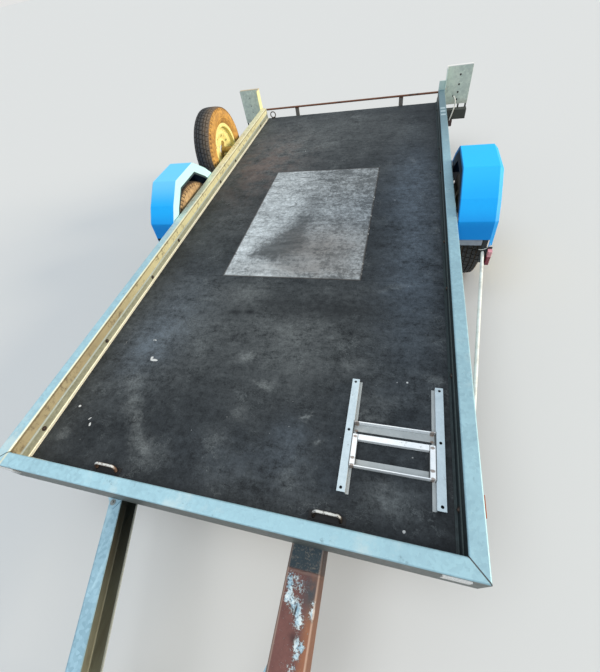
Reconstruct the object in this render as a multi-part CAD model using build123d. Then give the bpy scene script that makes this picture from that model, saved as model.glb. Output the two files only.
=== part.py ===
from build123d import *
import math
import os

# Flat-bed car trailer: galvanised rails round a plywood deck, a trailing-arm axle with two wheels
# under facetted mudguards, a V drawbar with one repaired arm, a jockey wheel and a spare wheel.
# Millimetres, +Z up, +Y towards the rear, +X to the right seen from the front.
# The origin is on the ground under the middle of the whole outline.

# Driving sizes of the bed
BED_WIDTH = 1500.0
BED_LENGTH = 3100.0
RAIL_TOP_Z = 486.0
RAIL_HEIGHT = 140.0
RAIL_FLANGE = 45.0
RAIL_WALL = 3.0
RAIL_LIP = 8.0
RAIL_STEP = 3.0
RAIL_STEP_DROP = 46.0
DECK_DROP = 79.0
DECK_THICK = 15.0
DECK_EDGE_GAP = 2.0
RAIL_BEND = 5.0

# Driving sizes of the wheels and the axle
TYRE_RADIUS = 271.0
TYRE_WIDTH = 145.0
RIM_RADIUS = 170.0
RIM_WIDTH = 114.0
WHEEL_GAP = 22.0
AXLE_FROM_FRONT = 1675.0
SWING_REACH = 150.0
STUD_CIRCLE = 50.0
STUD_RADIUS = 6.0
STUD_COUNT = 4
STUD_TURN = 45.0

# Driving sizes of the drawbar
ARM_HEIGHT = 100.0
ARM_FLANGE = 45.0
ARM_WALL = 5.0
ARM_BEND = 9.0
ARM_REAR = 1080.0
ARM_REAR_FROM_SIDE = 67.3
HEAD_FRONT = 950.0
ARM_FROM_HEAD_MIDDLE = 34.8
RIGHT_ARM_ANGLE = 19.6
COUPLING_REACH = 1130.0

# Depths behind the bed: crossbeam, the brackets on it and the lamps on the boards
BEAM_DEPTH = 50.0
BRACKET_THICK = 5.0
LAMP_DEPTH = 52.0

# Gap between pieces that are only seated on each other, lap of pieces that are welded together, and
# the hubs' running clearance
SEAT_GAP = 0.3
WELD_LAP = 1.0
HUB_CLEARANCE = 0.05

REAR_REACH = BED_LENGTH + BEAM_DEPTH - BRACKET_THICK + LAMP_DEPTH
FRONT_Y = (COUPLING_REACH - REAR_REACH) / 2
HALF_WIDTH = BED_WIDTH / 2
RAIL_BOTTOM_Z = RAIL_TOP_Z - RAIL_HEIGHT
DECK_TOP_Z = RAIL_TOP_Z - DECK_DROP
DECK_BOTTOM_Z = DECK_TOP_Z - DECK_THICK
RAIL_INNER = RAIL_FLANGE + RAIL_STEP
SIDES = (("left", -1), ("right", 1))

os.makedirs("parts", exist_ok=True)


def save(node, shape):
    shape.label = node
    export_step(shape, "parts/" + node + ".step")


def along(distance):
    """Y of a place that lies this far behind the bed's front edge."""
    return FRONT_Y + distance


def block(x, y, z):
    """Box between the low and high values of each axis."""
    size = (x[1] - x[0], y[1] - y[0], z[1] - z[0])
    middle = ((x[0] + x[1]) / 2, (y[0] + y[1]) / 2, (z[0] + z[1]) / 2)
    return Pos(*middle) * Box(*size)


def about(middle, width):
    """Low and high value of a band that is centred here."""
    return (middle - width / 2, middle + width / 2)


def square_tube(x, y, z, wall):
    """Square or oblong tube that runs along X, with round corners of one and a half walls."""
    outside = block(x, y, z)
    hollow = block(x, (y[0] + wall, y[1] - wall), (z[0] + wall, z[1] - wall))
    outside = fillet(outside.edges().filter_by(Axis.X), wall * 1.5)
    return outside - fillet(hollow.edges().filter_by(Axis.X), wall / 2)


def rod(start, end, radius):
    """Round bar from one point to another."""
    line = Vector(*end) - Vector(*start)
    bar = Cylinder(radius, line.length, align=(Align.CENTER, Align.CENTER, Align.MIN))
    return Plane(origin=start, z_dir=line) * bar


def bent(outline, bends):
    """Face of a closed outline; bends holds the index of each rounded corner and its radius."""
    face = make_face(Polyline(*outline, close=True))
    for index, radius in bends:
        corner = face.vertices().sort_by_distance(outline[index])[0]
        face = fillet(corner, radius)
    return face


def across(outline, low_x, high_x, bends=()):
    """Outline of (Y, Z) points, extruded from one X to another."""
    plane = Plane(origin=(low_x, 0, 0), x_dir=(0, 1, 0), z_dir=(1, 0, 0))
    return extrude(plane * bent(outline, bends), high_x - low_x)


def turned(outline, place):
    """Solid turned about a line along X; the outline holds (distance along X, radius) pairs."""
    face = make_face(Polyline(*outline, close=True))
    return Pos(*place) * revolve(Plane.XY * face, axis=Axis.X)


def together(shapes):
    return Compound(children=[solid for shape in shapes for solid in shape.solids()])


def mirrored(shape, side):
    return mirror(shape, about=Plane.YZ) if side < 0 else shape


# Rails: one folded section with a joggled inner wall and a lip over the deck, mitred at the corners
def rail_section():
    """Section with u inward from the outer face and v upward, zero at the rail's top."""
    wall = RAIL_WALL
    lip_low = -DECK_DROP
    bend = wall * math.tan(math.radians(22.5))
    outline = [
        (0, 0),
        (RAIL_FLANGE, 0),
        (RAIL_FLANGE, -RAIL_STEP_DROP),
        (RAIL_INNER, -RAIL_STEP_DROP - RAIL_STEP),
        (RAIL_INNER, lip_low + wall),
        (RAIL_INNER + RAIL_LIP, lip_low + wall),
        (RAIL_INNER + RAIL_LIP, lip_low),
        (RAIL_INNER - wall, lip_low),
        (RAIL_INNER - wall, -RAIL_STEP_DROP - RAIL_STEP - bend),
        (RAIL_FLANGE - wall, -RAIL_STEP_DROP - bend),
        (RAIL_FLANGE - wall, -wall),
        (wall, -wall),
        (wall, -RAIL_HEIGHT + wall),
        (RAIL_FLANGE, -RAIL_HEIGHT + wall),
        (RAIL_FLANGE, -RAIL_HEIGHT),
        (0, -RAIL_HEIGHT),
    ]
    outer = [(index, RAIL_BEND) for index in (0, 1, 7, 15)]
    inner = [(index, RAIL_BEND - wall) for index in (4, 10, 11, 12)]
    return bent(outline, outer + inner)


def side_rail():
    corner = (HALF_WIDTH, FRONT_Y, RAIL_TOP_Z)
    rail = extrude(Plane(origin=corner, x_dir=(-1, 0, 0), z_dir=(0, 1, 0)) * rail_section(), BED_LENGTH)
    return split(rail, bisect_by=Plane(origin=corner, z_dir=(1, 1, 0)), keep=Keep.TOP)


def front_rail():
    left_corner = (-HALF_WIDTH, FRONT_Y, RAIL_TOP_Z)
    right_corner = (HALF_WIDTH, FRONT_Y, RAIL_TOP_Z)
    rail = extrude(Plane(origin=left_corner, x_dir=(0, 1, 0), z_dir=(1, 0, 0)) * rail_section(), BED_WIDTH)
    rail = split(rail, bisect_by=Plane(origin=right_corner, z_dir=(-1, -1, 0)), keep=Keep.TOP)
    return split(rail, bisect_by=Plane(origin=left_corner, z_dir=(1, -1, 0)), keep=Keep.TOP)


for name, side in SIDES:
    save("side_rail_" + name, mirrored(side_rail(), side))
save("front_rail", front_rail())

# Deck: plywood sheets round a worn grey middle plate, all held under the rails' lips
PLATE_X = (-330.0, 350.0)
PLATE_FROM_FRONT = (1030.0, 2080.0)
DECK_JOINT = 1.0
deck_half = HALF_WIDTH - RAIL_WALL - DECK_EDGE_GAP
deck_front_y = along(RAIL_WALL + DECK_EDGE_GAP)
plate_y = (along(PLATE_FROM_FRONT[0]), along(PLATE_FROM_FRONT[1]))

# node, extent in X, extent in Y
DECK_SHEETS = (
    ("deck_front", (-deck_half, deck_half), (deck_front_y, plate_y[0] - DECK_JOINT)),
    ("deck_rear", (-deck_half, deck_half), (plate_y[1] + DECK_JOINT, along(BED_LENGTH))),
    ("deck_strip_left", (-deck_half, PLATE_X[0] - DECK_JOINT), plate_y),
    ("deck_strip_right", (PLATE_X[1] + DECK_JOINT, deck_half), plate_y),
    ("deck_plate", PLATE_X, plate_y),
)
for node, x, y in DECK_SHEETS:
    save(node, block(x, y, (DECK_BOTTOM_Z, DECK_TOP_Z)))

# Cross members: channels under the deck, standing on the rails' bottom flanges
CROSS_FLANGE = 40.0
CROSS_WALL = 3.0
CROSS_BEND = 5.0
CROSS_END_GAP = 2.5
CROSS_FROM_FRONT = (330.0, 1030.0, 1400.0, 2080.0)
CROSS_FROM_REAR = (500.0, 45.0)


def cross_member(distance):
    half = HALF_WIDTH - RAIL_WALL - CROSS_END_GAP
    low = RAIL_BOTTOM_Z + RAIL_WALL
    y = about(along(distance), CROSS_FLANGE)
    web_y = y[0] + CROSS_WALL
    outline = [
        (y[0], low),
        (y[1], low),
        (y[1], low + CROSS_WALL),
        (web_y, low + CROSS_WALL),
        (web_y, DECK_BOTTOM_Z - CROSS_WALL),
        (y[1], DECK_BOTTOM_Z - CROSS_WALL),
        (y[1], DECK_BOTTOM_Z),
        (y[0], DECK_BOTTOM_Z),
    ]
    inner_bend = CROSS_BEND - CROSS_WALL
    bends = ((0, CROSS_BEND), (7, CROSS_BEND), (3, inner_bend), (4, inner_bend))
    return across(outline, -half, half, bends)


cross_places = list(CROSS_FROM_FRONT) + [BED_LENGTH - distance for distance in CROSS_FROM_REAR]
save("cross_members", together([cross_member(place) for place in cross_places]))

# Rear crossbeam: a square tube under the rails' level; plates on it close the rails' ends, the right
# one standing higher, and flat brackets on its rear edge hold the light boards
BEAM_HEIGHT = 70.0
BEAM_WALL = 4.0
END_PLATE = 6.0
END_PLATE_RISE = {"left": -3.0, "right": 58.0}
BOARD_WIDTH = 180.0
BRACKET_FROM_RAIL = (118.0, 171.0)
BRACKET_WIDTH = 12.0
BRACKET_HEIGHT = 56.0
PLATE_FOOT = 8.0
beam_half = HALF_WIDTH + BOARD_WIDTH
beam_y = (along(BED_LENGTH), along(BED_LENGTH + BEAM_DEPTH))
beam_z = (RAIL_BOTTOM_Z - BEAM_HEIGHT, RAIL_BOTTOM_Z)
board_back_y = beam_y[1] - BRACKET_THICK
rear_beam = square_tube((-beam_half, beam_half), beam_y, beam_z, BEAM_WALL)
for name, side in SIDES:
    end_plate = block(
        (HALF_WIDTH - RAIL_FLANGE, HALF_WIDTH),
        (beam_y[0], beam_y[0] + END_PLATE),
        (beam_z[1] - PLATE_FOOT, RAIL_TOP_Z + END_PLATE_RISE[name]),
    )
    rear_beam += mirrored(end_plate, side)
    for distance in BRACKET_FROM_RAIL:
        bracket = block(
            about(HALF_WIDTH + distance, BRACKET_WIDTH),
            (board_back_y, beam_y[1]),
            (beam_z[1] - PLATE_FOOT, beam_z[1] + BRACKET_HEIGHT),
        )
        rear_beam += mirrored(bracket, side)
save("rear_crossbeam", rear_beam)

# Light boards: folded pans with a lip along the top and the outer edge, a row of fixing holes, and a
# return that is bolted to the outside of the rail's end
BOARD_SHEET = 3.0
BOARD_RISE = 134.0
BOARD_DROP = 115.0
BOARD_RETURN = 65.0
BOARD_LIP = 14.0
BOARD_CORNER = 12.0
BOARD_HOLE_FROM_RAIL = 100.0
BOARD_HOLE_RADIUS = 4.0
BOARD_HOLE_HEIGHTS = (74.0, 13.0, -36.0, -84.0)
GROMMET_FROM_RAIL = 75.0
GROMMET_DROP = 61.0
board_x = (HALF_WIDTH, HALF_WIDTH + BOARD_WIDTH)
board_z = (RAIL_TOP_Z - BOARD_DROP, RAIL_TOP_Z + BOARD_RISE)
board_front_y = board_back_y - BOARD_SHEET


def board_pan(inset, y):
    """Plate of the board's outline, drawn in by this inset at the top and the outer edge."""
    plate = block((board_x[0], board_x[1] - inset), y, (board_z[0], board_z[1] - inset))
    corner = plate.edges().filter_by(Axis.Y).group_by(Axis.X)[-1].sort_by(Axis.Z)[-1]
    return fillet(corner, BOARD_CORNER - inset)


def light_board():
    board = board_pan(0, (board_front_y, board_back_y + BOARD_LIP))
    board -= board_pan(BOARD_SHEET, (board_back_y, board_back_y + BOARD_LIP))
    return_y = (board_back_y - BOARD_RETURN, board_back_y)
    board += block((board_x[0], board_x[0] + BOARD_SHEET), return_y, board_z)
    for height in BOARD_HOLE_HEIGHTS:
        middle = (board_x[0] + BOARD_HOLE_FROM_RAIL, board_back_y, RAIL_TOP_Z + height)
        board -= Pos(*middle) * Rot(X=90) * Cylinder(BOARD_HOLE_RADIUS, BOARD_SHEET * 3)
    return board


for name, side in SIDES:
    save("light_board_" + name, mirrored(light_board(), side))

# Tail lamps: a base with rounded corners on the back of each board, with a smaller softened lens on it
LAMP_WIDTH = 150.0
LAMP_HEIGHT = 110.0
LAMP_BELOW_LIP = 12.0
LAMP_ROUND = 12.0
LAMP_BASE_DEPTH = 16.0
LAMP_LENS_INSET = 4.0
LAMP_LENS_SOFT = 6.0


def tail_lamp():
    lamp_x = about((board_x[0] + board_x[1]) / 2, LAMP_WIDTH)
    lamp_top = board_z[1] - LAMP_BELOW_LIP
    lamp_z = (lamp_top - LAMP_HEIGHT, lamp_top)
    base = block(lamp_x, (board_back_y, board_back_y + LAMP_BASE_DEPTH), lamp_z)
    base = fillet(base.edges().filter_by(Axis.Y), LAMP_ROUND)
    inset = LAMP_LENS_INSET
    lens = block(
        (lamp_x[0] + inset, lamp_x[1] - inset),
        (board_back_y + LAMP_BASE_DEPTH, board_back_y + LAMP_DEPTH),
        (lamp_z[0] + inset, lamp_z[1] - inset),
    )
    lens = fillet(lens.edges().filter_by(Axis.Y), LAMP_ROUND - inset)
    lens = fillet(lens.faces().sort_by(Axis.Y)[-1].edges(), LAMP_LENS_SOFT)
    return base + lens


save("tail_lamps", together([mirrored(tail_lamp(), side) for _, side in SIDES]))

# Rear stop bar: a rusty rod between the boards' returns, on two flat posts that stand on the crossbeam
STOP_BAR_RADIUS = 7.0
STOP_BAR_DROP = 20.0
STOP_BAR_FROM_BOARD = 19.0
STOP_POST_X = 432.0
STOP_POST_WIDTH = 32.0
STOP_POST_THICK = 6.0
stop_bar_y = board_back_y - STOP_BAR_FROM_BOARD
stop_bar_z = RAIL_TOP_Z - STOP_BAR_DROP
stop_bar = rod(
    (-HALF_WIDTH, stop_bar_y, stop_bar_z), (HALF_WIDTH, stop_bar_y, stop_bar_z), STOP_BAR_RADIUS
)
for _, side in SIDES:
    post_x = about(side * STOP_POST_X, STOP_POST_WIDTH)
    stop_bar += block(post_x, about(stop_bar_y, STOP_POST_THICK), (beam_z[1], stop_bar_z))
save("rear_stop_bar", stop_bar)

# Axle: a square beam across, with plates up to the rails, and a trailing arm with a stub each side
AXLE_BEAM_SIZE = 60.0
AXLE_BEAM_WALL = 4.0
AXLE_PLATE = 6.0
AXLE_PLATE_LENGTH = 160.0
AXLE_PLATE_WIDTH = 70.0
AXLE_PLATE_INSET = 10.0
SWING_THICK = 24.0
SWING_TYRE_GAP = 6.0
STUB_RADIUS = 15.0
axle_y = along(AXLE_FROM_FRONT)
axle_beam_y = axle_y - SWING_REACH
axle_beam_z = RAIL_BOTTOM_Z - AXLE_PLATE - AXLE_BEAM_SIZE / 2
wheel_inner_x = HALF_WIDTH + WHEEL_GAP
wheel_x = wheel_inner_x + TYRE_WIDTH / 2
swing_x = (wheel_inner_x - SWING_TYRE_GAP - SWING_THICK, wheel_inner_x - SWING_TYRE_GAP)
axle_beam = square_tube(
    (-swing_x[0], swing_x[0]),
    about(axle_beam_y, AXLE_BEAM_SIZE),
    about(axle_beam_z, AXLE_BEAM_SIZE),
    AXLE_BEAM_WALL,
)
for _, side in SIDES:
    plate_middle = side * (HALF_WIDTH - RAIL_FLANGE / 2 - AXLE_PLATE_INSET)
    axle_beam += block(
        about(plate_middle, AXLE_PLATE_WIDTH),
        about(axle_beam_y, AXLE_PLATE_LENGTH),
        (RAIL_BOTTOM_Z - AXLE_PLATE, RAIL_BOTTOM_Z),
    )
save("axle_beam", axle_beam)

# Hubs: a barrel on the stub, a flange with the studs that the rim hangs on, and a stepped grease cap
HUB_RADIUS = 33.0
HUB_FLANGE_RADIUS = 66.0
HUB_FLANGE_THICK = 9.0
HUB_INSET = 18.0
HUB_REACH = 52.0
HUB_CAP = 6.0
HUB_CAP_CHAMFER = 5.0
HUB_END_GAP = 1.0
DISC_OFFSET = 14.0
STUD_REACH = 14.0
RIM_SHEET = 4.0
disc_x = wheel_x + DISC_OFFSET
hub_x = (wheel_inner_x + HUB_INSET, wheel_x + HUB_REACH)
stub_end_x = hub_x[1] - HUB_CAP - HUB_END_GAP
swing_radius = AXLE_BEAM_SIZE / 2 - WELD_LAP
stud_places = [
    (STUD_CIRCLE * math.cos(turn), STUD_CIRCLE * math.sin(turn))
    for turn in (math.radians(STUD_TURN + 360 / STUD_COUNT * step) for step in range(STUD_COUNT))
]


def swing_arm():
    rise = axle_beam_z - TYRE_RADIUS
    length = math.hypot(rise, SWING_REACH)
    plane = Plane(origin=(swing_x[0], axle_y, TYRE_RADIUS), x_dir=(0, -1, 0), z_dir=(1, 0, 0))
    slot = SlotOverall(length + 2 * swing_radius, 2 * swing_radius)
    outline = Rot(Z=-math.degrees(math.atan2(rise, SWING_REACH))) * Pos(length / 2, 0) * slot
    arm = extrude(plane * outline, SWING_THICK)
    root = (swing_x[1] - WELD_LAP, axle_y, TYRE_RADIUS)
    return arm + rod(root, (stub_end_x, axle_y, TYRE_RADIUS), STUB_RADIUS)


def hub():
    bore = STUB_RADIUS + HUB_CLEARANCE
    cap_radius = HUB_RADIUS - HUB_CAP_CHAMFER
    outline = [
        (hub_x[0], bore),
        (hub_x[0], HUB_RADIUS),
        (disc_x - HUB_FLANGE_THICK, HUB_RADIUS),
        (disc_x - HUB_FLANGE_THICK, HUB_FLANGE_RADIUS),
        (disc_x, HUB_FLANGE_RADIUS),
        (disc_x, cap_radius),
        (hub_x[1] - HUB_CAP_CHAMFER, cap_radius),
        (hub_x[1], cap_radius - HUB_CAP_CHAMFER),
        (hub_x[1], 0),
        (hub_x[1] - HUB_CAP, 0),
        (hub_x[1] - HUB_CAP, bore),
    ]
    shape = turned(outline, (0, axle_y, TYRE_RADIUS))
    for y, z in stud_places:
        root = (disc_x - WELD_LAP, axle_y + y, TYRE_RADIUS + z)
        tip = (disc_x + RIM_SHEET + STUD_REACH, axle_y + y, TYRE_RADIUS + z)
        shape += rod(root, tip, STUD_RADIUS)
    return shape


for name, side in SIDES:
    save("swing_arm_" + name, mirrored(swing_arm(), side))
    save("hub_" + name, mirrored(hub(), side))

# Wheels: a pressed rim with a drop centre and a dished, vented disc, and a tyre on its two seats
BEAD_RADIUS = 152.0
WELL_RADIUS = 132.0
SEAT_WIDTH = 24.0
WELL_SLOPE = 8.0
DISH = 18.0
DISH_WIDTH = 26.0
DISC_FLAT = 12.0
VENT_COUNT = 8
VENT_RADIUS = 9.0
VENT_CIRCLE = 92.0
TYRE_WALL = 11.0
TYRE_CROWN = 26.0
TYRE_SHOULDER = 14.0
TYRE_BULGE = 2.0


def wheel_rim():
    """Rim about the X axis; the flat of the disc stands off the middle towards +X."""
    half = RIM_WIDTH / 2
    sheet = RIM_SHEET
    well = half - SEAT_WIDTH - WELL_SLOPE
    disc = DISC_OFFSET
    outer = [
        (half, RIM_RADIUS),
        (half - sheet, RIM_RADIUS),
        (half - sheet, BEAD_RADIUS),
        (half - SEAT_WIDTH, BEAD_RADIUS),
        (well, WELL_RADIUS),
    ]
    inner = [
        (half, BEAD_RADIUS - sheet),
        (half - SEAT_WIDTH + sheet / 2, BEAD_RADIUS - sheet),
        (well + sheet / 2, WELL_RADIUS - sheet),
    ]
    dish = [
        (disc + DISH - sheet, WELL_RADIUS - sheet),
        (disc + DISH, WELL_RADIUS - DISH_WIDTH),
        (disc + sheet, HUB_FLANGE_RADIUS + DISC_FLAT),
        (disc + sheet, HUB_RADIUS),
        (disc, HUB_RADIUS),
        (disc, HUB_FLANGE_RADIUS + DISC_FLAT),
        (disc + DISH - sheet, WELL_RADIUS - DISH_WIDTH),
        (disc + DISH - 2 * sheet, WELL_RADIUS - sheet),
    ]
    left_outer = [(-x, radius) for x, radius in outer]
    left_inner = [(-x, radius) for x, radius in reversed(inner)]
    rim = turned(list(reversed(outer)) + inner + dish + left_inner + left_outer, (0, 0, 0))
    for y, z in stud_places:
        rim -= Pos(disc, y, z) * Rot(Y=90) * Cylinder(STUD_RADIUS + SEAT_GAP, sheet * 4)
    for step in range(VENT_COUNT):
        turn = 2 * math.pi * (step + 0.5) / VENT_COUNT
        middle = (disc + DISH / 2, VENT_CIRCLE * math.cos(turn), VENT_CIRCLE * math.sin(turn))
        rim -= Pos(*middle) * Rot(Y=90) * Cylinder(VENT_RADIUS, DISH * 2)
    return rim


def tyre():
    """Tyre about the X axis: tread, shoulders, bulged walls and beads on the rim's seats."""
    half = TYRE_WIDTH / 2
    bead = BEAD_RADIUS + SEAT_GAP
    foot = RIM_WIDTH / 2 - RIM_SHEET - SEAT_GAP
    bulge = (bead + TYRE_RADIUS) / 2
    crown = half - TYRE_CROWN
    outer = [
        (foot, bead),
        (foot, RIM_RADIUS),
        (half - TYRE_BULGE, bulge - TYRE_SHOULDER),
        (half, bulge + TYRE_SHOULDER / 2),
        (half - TYRE_SHOULDER, TYRE_RADIUS - TYRE_SHOULDER),
        (crown, TYRE_RADIUS),
    ]
    inner = [
        (foot - TYRE_WALL, bead),
        (half - TYRE_WALL - TYRE_BULGE, bulge),
        (crown - TYRE_WALL, TYRE_RADIUS - TYRE_WALL),
    ]
    left_outer = [(-x, radius) for x, radius in reversed(outer)]
    left_inner = [(-x, radius) for x, radius in inner]
    return turned(outer + left_outer + left_inner + list(reversed(inner)), (0, 0, 0))


for name, side in SIDES:
    place = Pos(wheel_x, axle_y, TYRE_RADIUS)
    save("rim_" + name, mirrored(place * wheel_rim(), side))
    save("tyre_" + name, mirrored(place * tyre(), side))

# Mudguards: folded sheet over each wheel, with an inner skirt, a chamfer and an outer skirt whose
# feet hang lower than the facets; a grey strip is fixed inside the front and the rear facet
GUARD_GAP = 6.0
GUARD_TOP_WIDTH = 154.0
GUARD_CHAMFER = 19.0
GUARD_SHEET = 3.0
GUARD_SKIRT = 60.0
GUARD_OUTER_SKIRT = 34.0
GUARD_FOOT = 35.0
GUARD_BEND = 9.0
STRIP_FOOT = 30.0
STRIP_LAP = 24.0
STRIP_THICK = 3.0
guard_x = HALF_WIDTH + GUARD_GAP
guard_top_x = guard_x + GUARD_TOP_WIDTH
guard_outer_x = guard_top_x + GUARD_CHAMFER

# Folds behind the axle, mirrored ahead of it: run from the axle, height over the rail's top
GUARD_FOLDS = ((112.0, 145.0), (228.0, 57.0), (298.0, -16.0), (310.0, -104.0))


def guard_profile(inset, foot=0.0):
    """Facetted arch in (Y, Z), this far inside the folds and this much longer at its two feet."""
    lean = (GUARD_FOLDS[-1][0] - GUARD_FOLDS[-2][0]) / (GUARD_FOLDS[-2][1] - GUARD_FOLDS[-1][1])
    last = (GUARD_FOLDS[-1][0] + lean * foot, GUARD_FOLDS[-1][1] - foot)
    half = list(GUARD_FOLDS[:-1]) + [last]
    folds = [(-run, rise) for run, rise in reversed(half)] + half
    points = [(axle_y + run, RAIL_TOP_Z + rise) for run, rise in folds]
    inside = []
    for index, here in enumerate(points):
        neighbours = points[max(index - 1, 0) : index + 2]
        normals = []
        for start, end in zip(neighbours, neighbours[1:]):
            length = math.hypot(end[0] - start[0], end[1] - start[1])
            normals.append(((end[1] - start[1]) / length, (start[0] - end[0]) / length))
        normal_y = sum(normal[0] for normal in normals) / len(normals)
        normal_z = sum(normal[1] for normal in normals) / len(normals)
        scale = inset / (normal_y**2 + normal_z**2)
        inside.append((here[0] + normal_y * scale, here[1] + normal_z * scale))
    return inside


def arch_band(x, inset, depth, foot=0.0):
    """Band of the arch between two insets, bent at its folds, from one X to another."""
    outside = guard_profile(inset, foot)
    inside = guard_profile(inset + depth, foot)
    folds = range(1, len(outside) - 1)
    bends = [(index, GUARD_BEND) for index in folds]
    if depth == GUARD_SHEET:
        bends += [(len(outside) + index, GUARD_BEND - GUARD_SHEET) for index in folds]
    return across(outside + list(reversed(inside)), x[0], x[1], bends)


def arch_face(x, inset, bend):
    """Closed outline of the arch and its open foot on a plane across X, rounded at the folds."""
    points = [Vector(x, y, z) for y, z in guard_profile(inset, GUARD_FOOT)]
    return bent(points, [(index, bend) for index in range(1, len(points) - 1)])


def mudguard():
    sheet = GUARD_SHEET
    guard = arch_band((guard_x, guard_top_x), 0, sheet)
    guard += arch_band((guard_x, guard_x + sheet), 0, GUARD_SKIRT)
    shell = []
    for inset, bend in ((0, GUARD_BEND), (sheet, GUARD_BEND - sheet)):
        near = arch_face(guard_top_x, inset, bend)
        far = arch_face(guard_outer_x, GUARD_CHAMFER + inset, bend)
        shell.append(loft([near, far], ruled=True))
    guard += shell[0] - shell[1]
    skirt_x = (guard_outer_x - sheet, guard_outer_x)
    return guard + arch_band(skirt_x, GUARD_CHAMFER, GUARD_OUTER_SKIRT, GUARD_FOOT)


def foot_line(inset, drop):
    """Point on the rear foot's facet, this far inside it and this far under the rail's top."""
    (run_high, rise_high), (run_low, rise_low) = GUARD_FOLDS[-2:]
    lean = (run_low - run_high) / (rise_high - rise_low)
    run = run_low + lean * (drop + rise_low) - inset * math.hypot(1, lean)
    return run, RAIL_TOP_Z - drop


# Stay rods: from under the rail to a short hanger behind the mudguard's front facet
STAY_RADIUS = 7.0
STAY_FROM_RAIL_SIDE = 22.0
STAY_FROM_FRONT = 45.0
STAY_RAIL_GAP = 0.5
STAY_DROP = 178.0
STAY_END_FROM_HANGER = 10.0
HANGER_FROM_SKIRT = (130.0, 177.0)
HANGER_NECK = 20.0
HANGER_THICK = 6.0
HANGER_SHOULDER = 150.0
HANGER_TOP = 92.0
HANGER_BOTTOM = 240.0
hanger_x = (guard_x + HANGER_FROM_SKIRT[0], guard_x + HANGER_FROM_SKIRT[1])
hanger_y = axle_y - foot_line(GUARD_SHEET, HANGER_TOP)[0] + SEAT_GAP


def guard_strip(end):
    """Grey strip inside the foot behind the axle (1) or ahead of it (-1)."""
    low = STRIP_FOOT - GUARD_FOLDS[-1][1]
    high = -GUARD_FOLDS[-1][1] - STRIP_LAP
    near = [foot_line(GUARD_SHEET, drop) for drop in (high, low)]
    far = [foot_line(GUARD_SHEET + STRIP_THICK, drop) for drop in (low, high)]
    outline = [(axle_y + end * run, z) for run, z in near + far]
    return across(outline, guard_x + GUARD_SHEET, hanger_x[0] - HANGER_THICK)


for name, side in SIDES:
    save("mudguard_" + name, mirrored(mudguard(), side))
strips = [mirrored(guard_strip(end), side) for _, side in SIDES for end in (-1, 1)]
save("mudguard_strips", together(strips))

# Mudguard brackets: plates that hold the inner skirts to the rails
GUARD_PLATE_LENGTH = 60.0
GUARD_PLATE_DROP = (88.0, 8.0)
GUARD_PLATE_RUN = 262.0


def guard_plate(end):
    y = about(axle_y + end * GUARD_PLATE_RUN, GUARD_PLATE_LENGTH)
    return block((HALF_WIDTH, guard_x), y, tuple(RAIL_TOP_Z - drop for drop in GUARD_PLATE_DROP))


brackets = [mirrored(guard_plate(end), side) for _, side in SIDES for end in (-1, 1)]
save("mudguard_brackets", together(brackets))


def stay_rod():
    thickness = (hanger_y, hanger_y + HANGER_THICK)
    shoulder_z = RAIL_TOP_Z - HANGER_SHOULDER
    hanger = block(hanger_x, thickness, (RAIL_TOP_Z - HANGER_BOTTOM, shoulder_z))
    neck_x = (hanger_x[0], hanger_x[0] + HANGER_NECK)
    hanger += block(neck_x, thickness, (shoulder_z - WELD_LAP, RAIL_TOP_Z - HANGER_TOP))
    rail_x = HALF_WIDTH - STAY_FROM_RAIL_SIDE
    rail_z = RAIL_BOTTOM_Z - STAY_RADIUS - STAY_RAIL_GAP
    start = (rail_x, along(STAY_FROM_FRONT), rail_z)
    end_x = hanger_x[0] + STAY_END_FROM_HANGER
    end = (end_x, hanger_y + HANGER_THICK / 2, RAIL_TOP_Z - STAY_DROP)
    return hanger + rod(start, end, STAY_RADIUS)


save("stay_rods", together([mirrored(stay_rod(), side) for _, side in SIDES]))

# Marker lamps on the hangers
MARKER_WIDTH = 19.0
MARKER_DEPTH = 26.0
MARKER_DROP = (235.0, 158.0)
MARKER_ROUND = 5.0


def marker_lamp():
    lamp = block(
        (hanger_x[1] - MARKER_WIDTH, hanger_x[1]),
        (hanger_y - MARKER_DEPTH, hanger_y),
        tuple(RAIL_TOP_Z - drop for drop in MARKER_DROP),
    )
    return fillet(lamp.edges().filter_by(Axis.Z), MARKER_ROUND)


save("marker_lamps", together([mirrored(marker_lamp(), side) for _, side in SIDES]))

# Reflectors: white ones on the front rail, orange ones on the side rails
REFLECTOR_THICK = 4.0
REFLECTOR_DROP = (46.0, 10.0)
FRONT_REFLECTOR_FROM_SIDE = (100.0, 38.0)
SIDE_REFLECTOR_FROM_FRONT = (135.0, 188.0)
reflector_z = tuple(RAIL_TOP_Z - drop for drop in REFLECTOR_DROP)
front_reflector = block(
    tuple(HALF_WIDTH - distance for distance in FRONT_REFLECTOR_FROM_SIDE),
    (FRONT_Y - REFLECTOR_THICK, FRONT_Y),
    reflector_z,
)
side_reflector = block(
    (HALF_WIDTH, HALF_WIDTH + REFLECTOR_THICK),
    tuple(along(distance) for distance in SIDE_REFLECTOR_FROM_FRONT),
    reflector_z,
)
save("front_reflectors", together([mirrored(front_reflector, side) for _, side in SIDES]))
save("side_reflectors", together([mirrored(side_reflector, side) for _, side in SIDES]))

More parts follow.
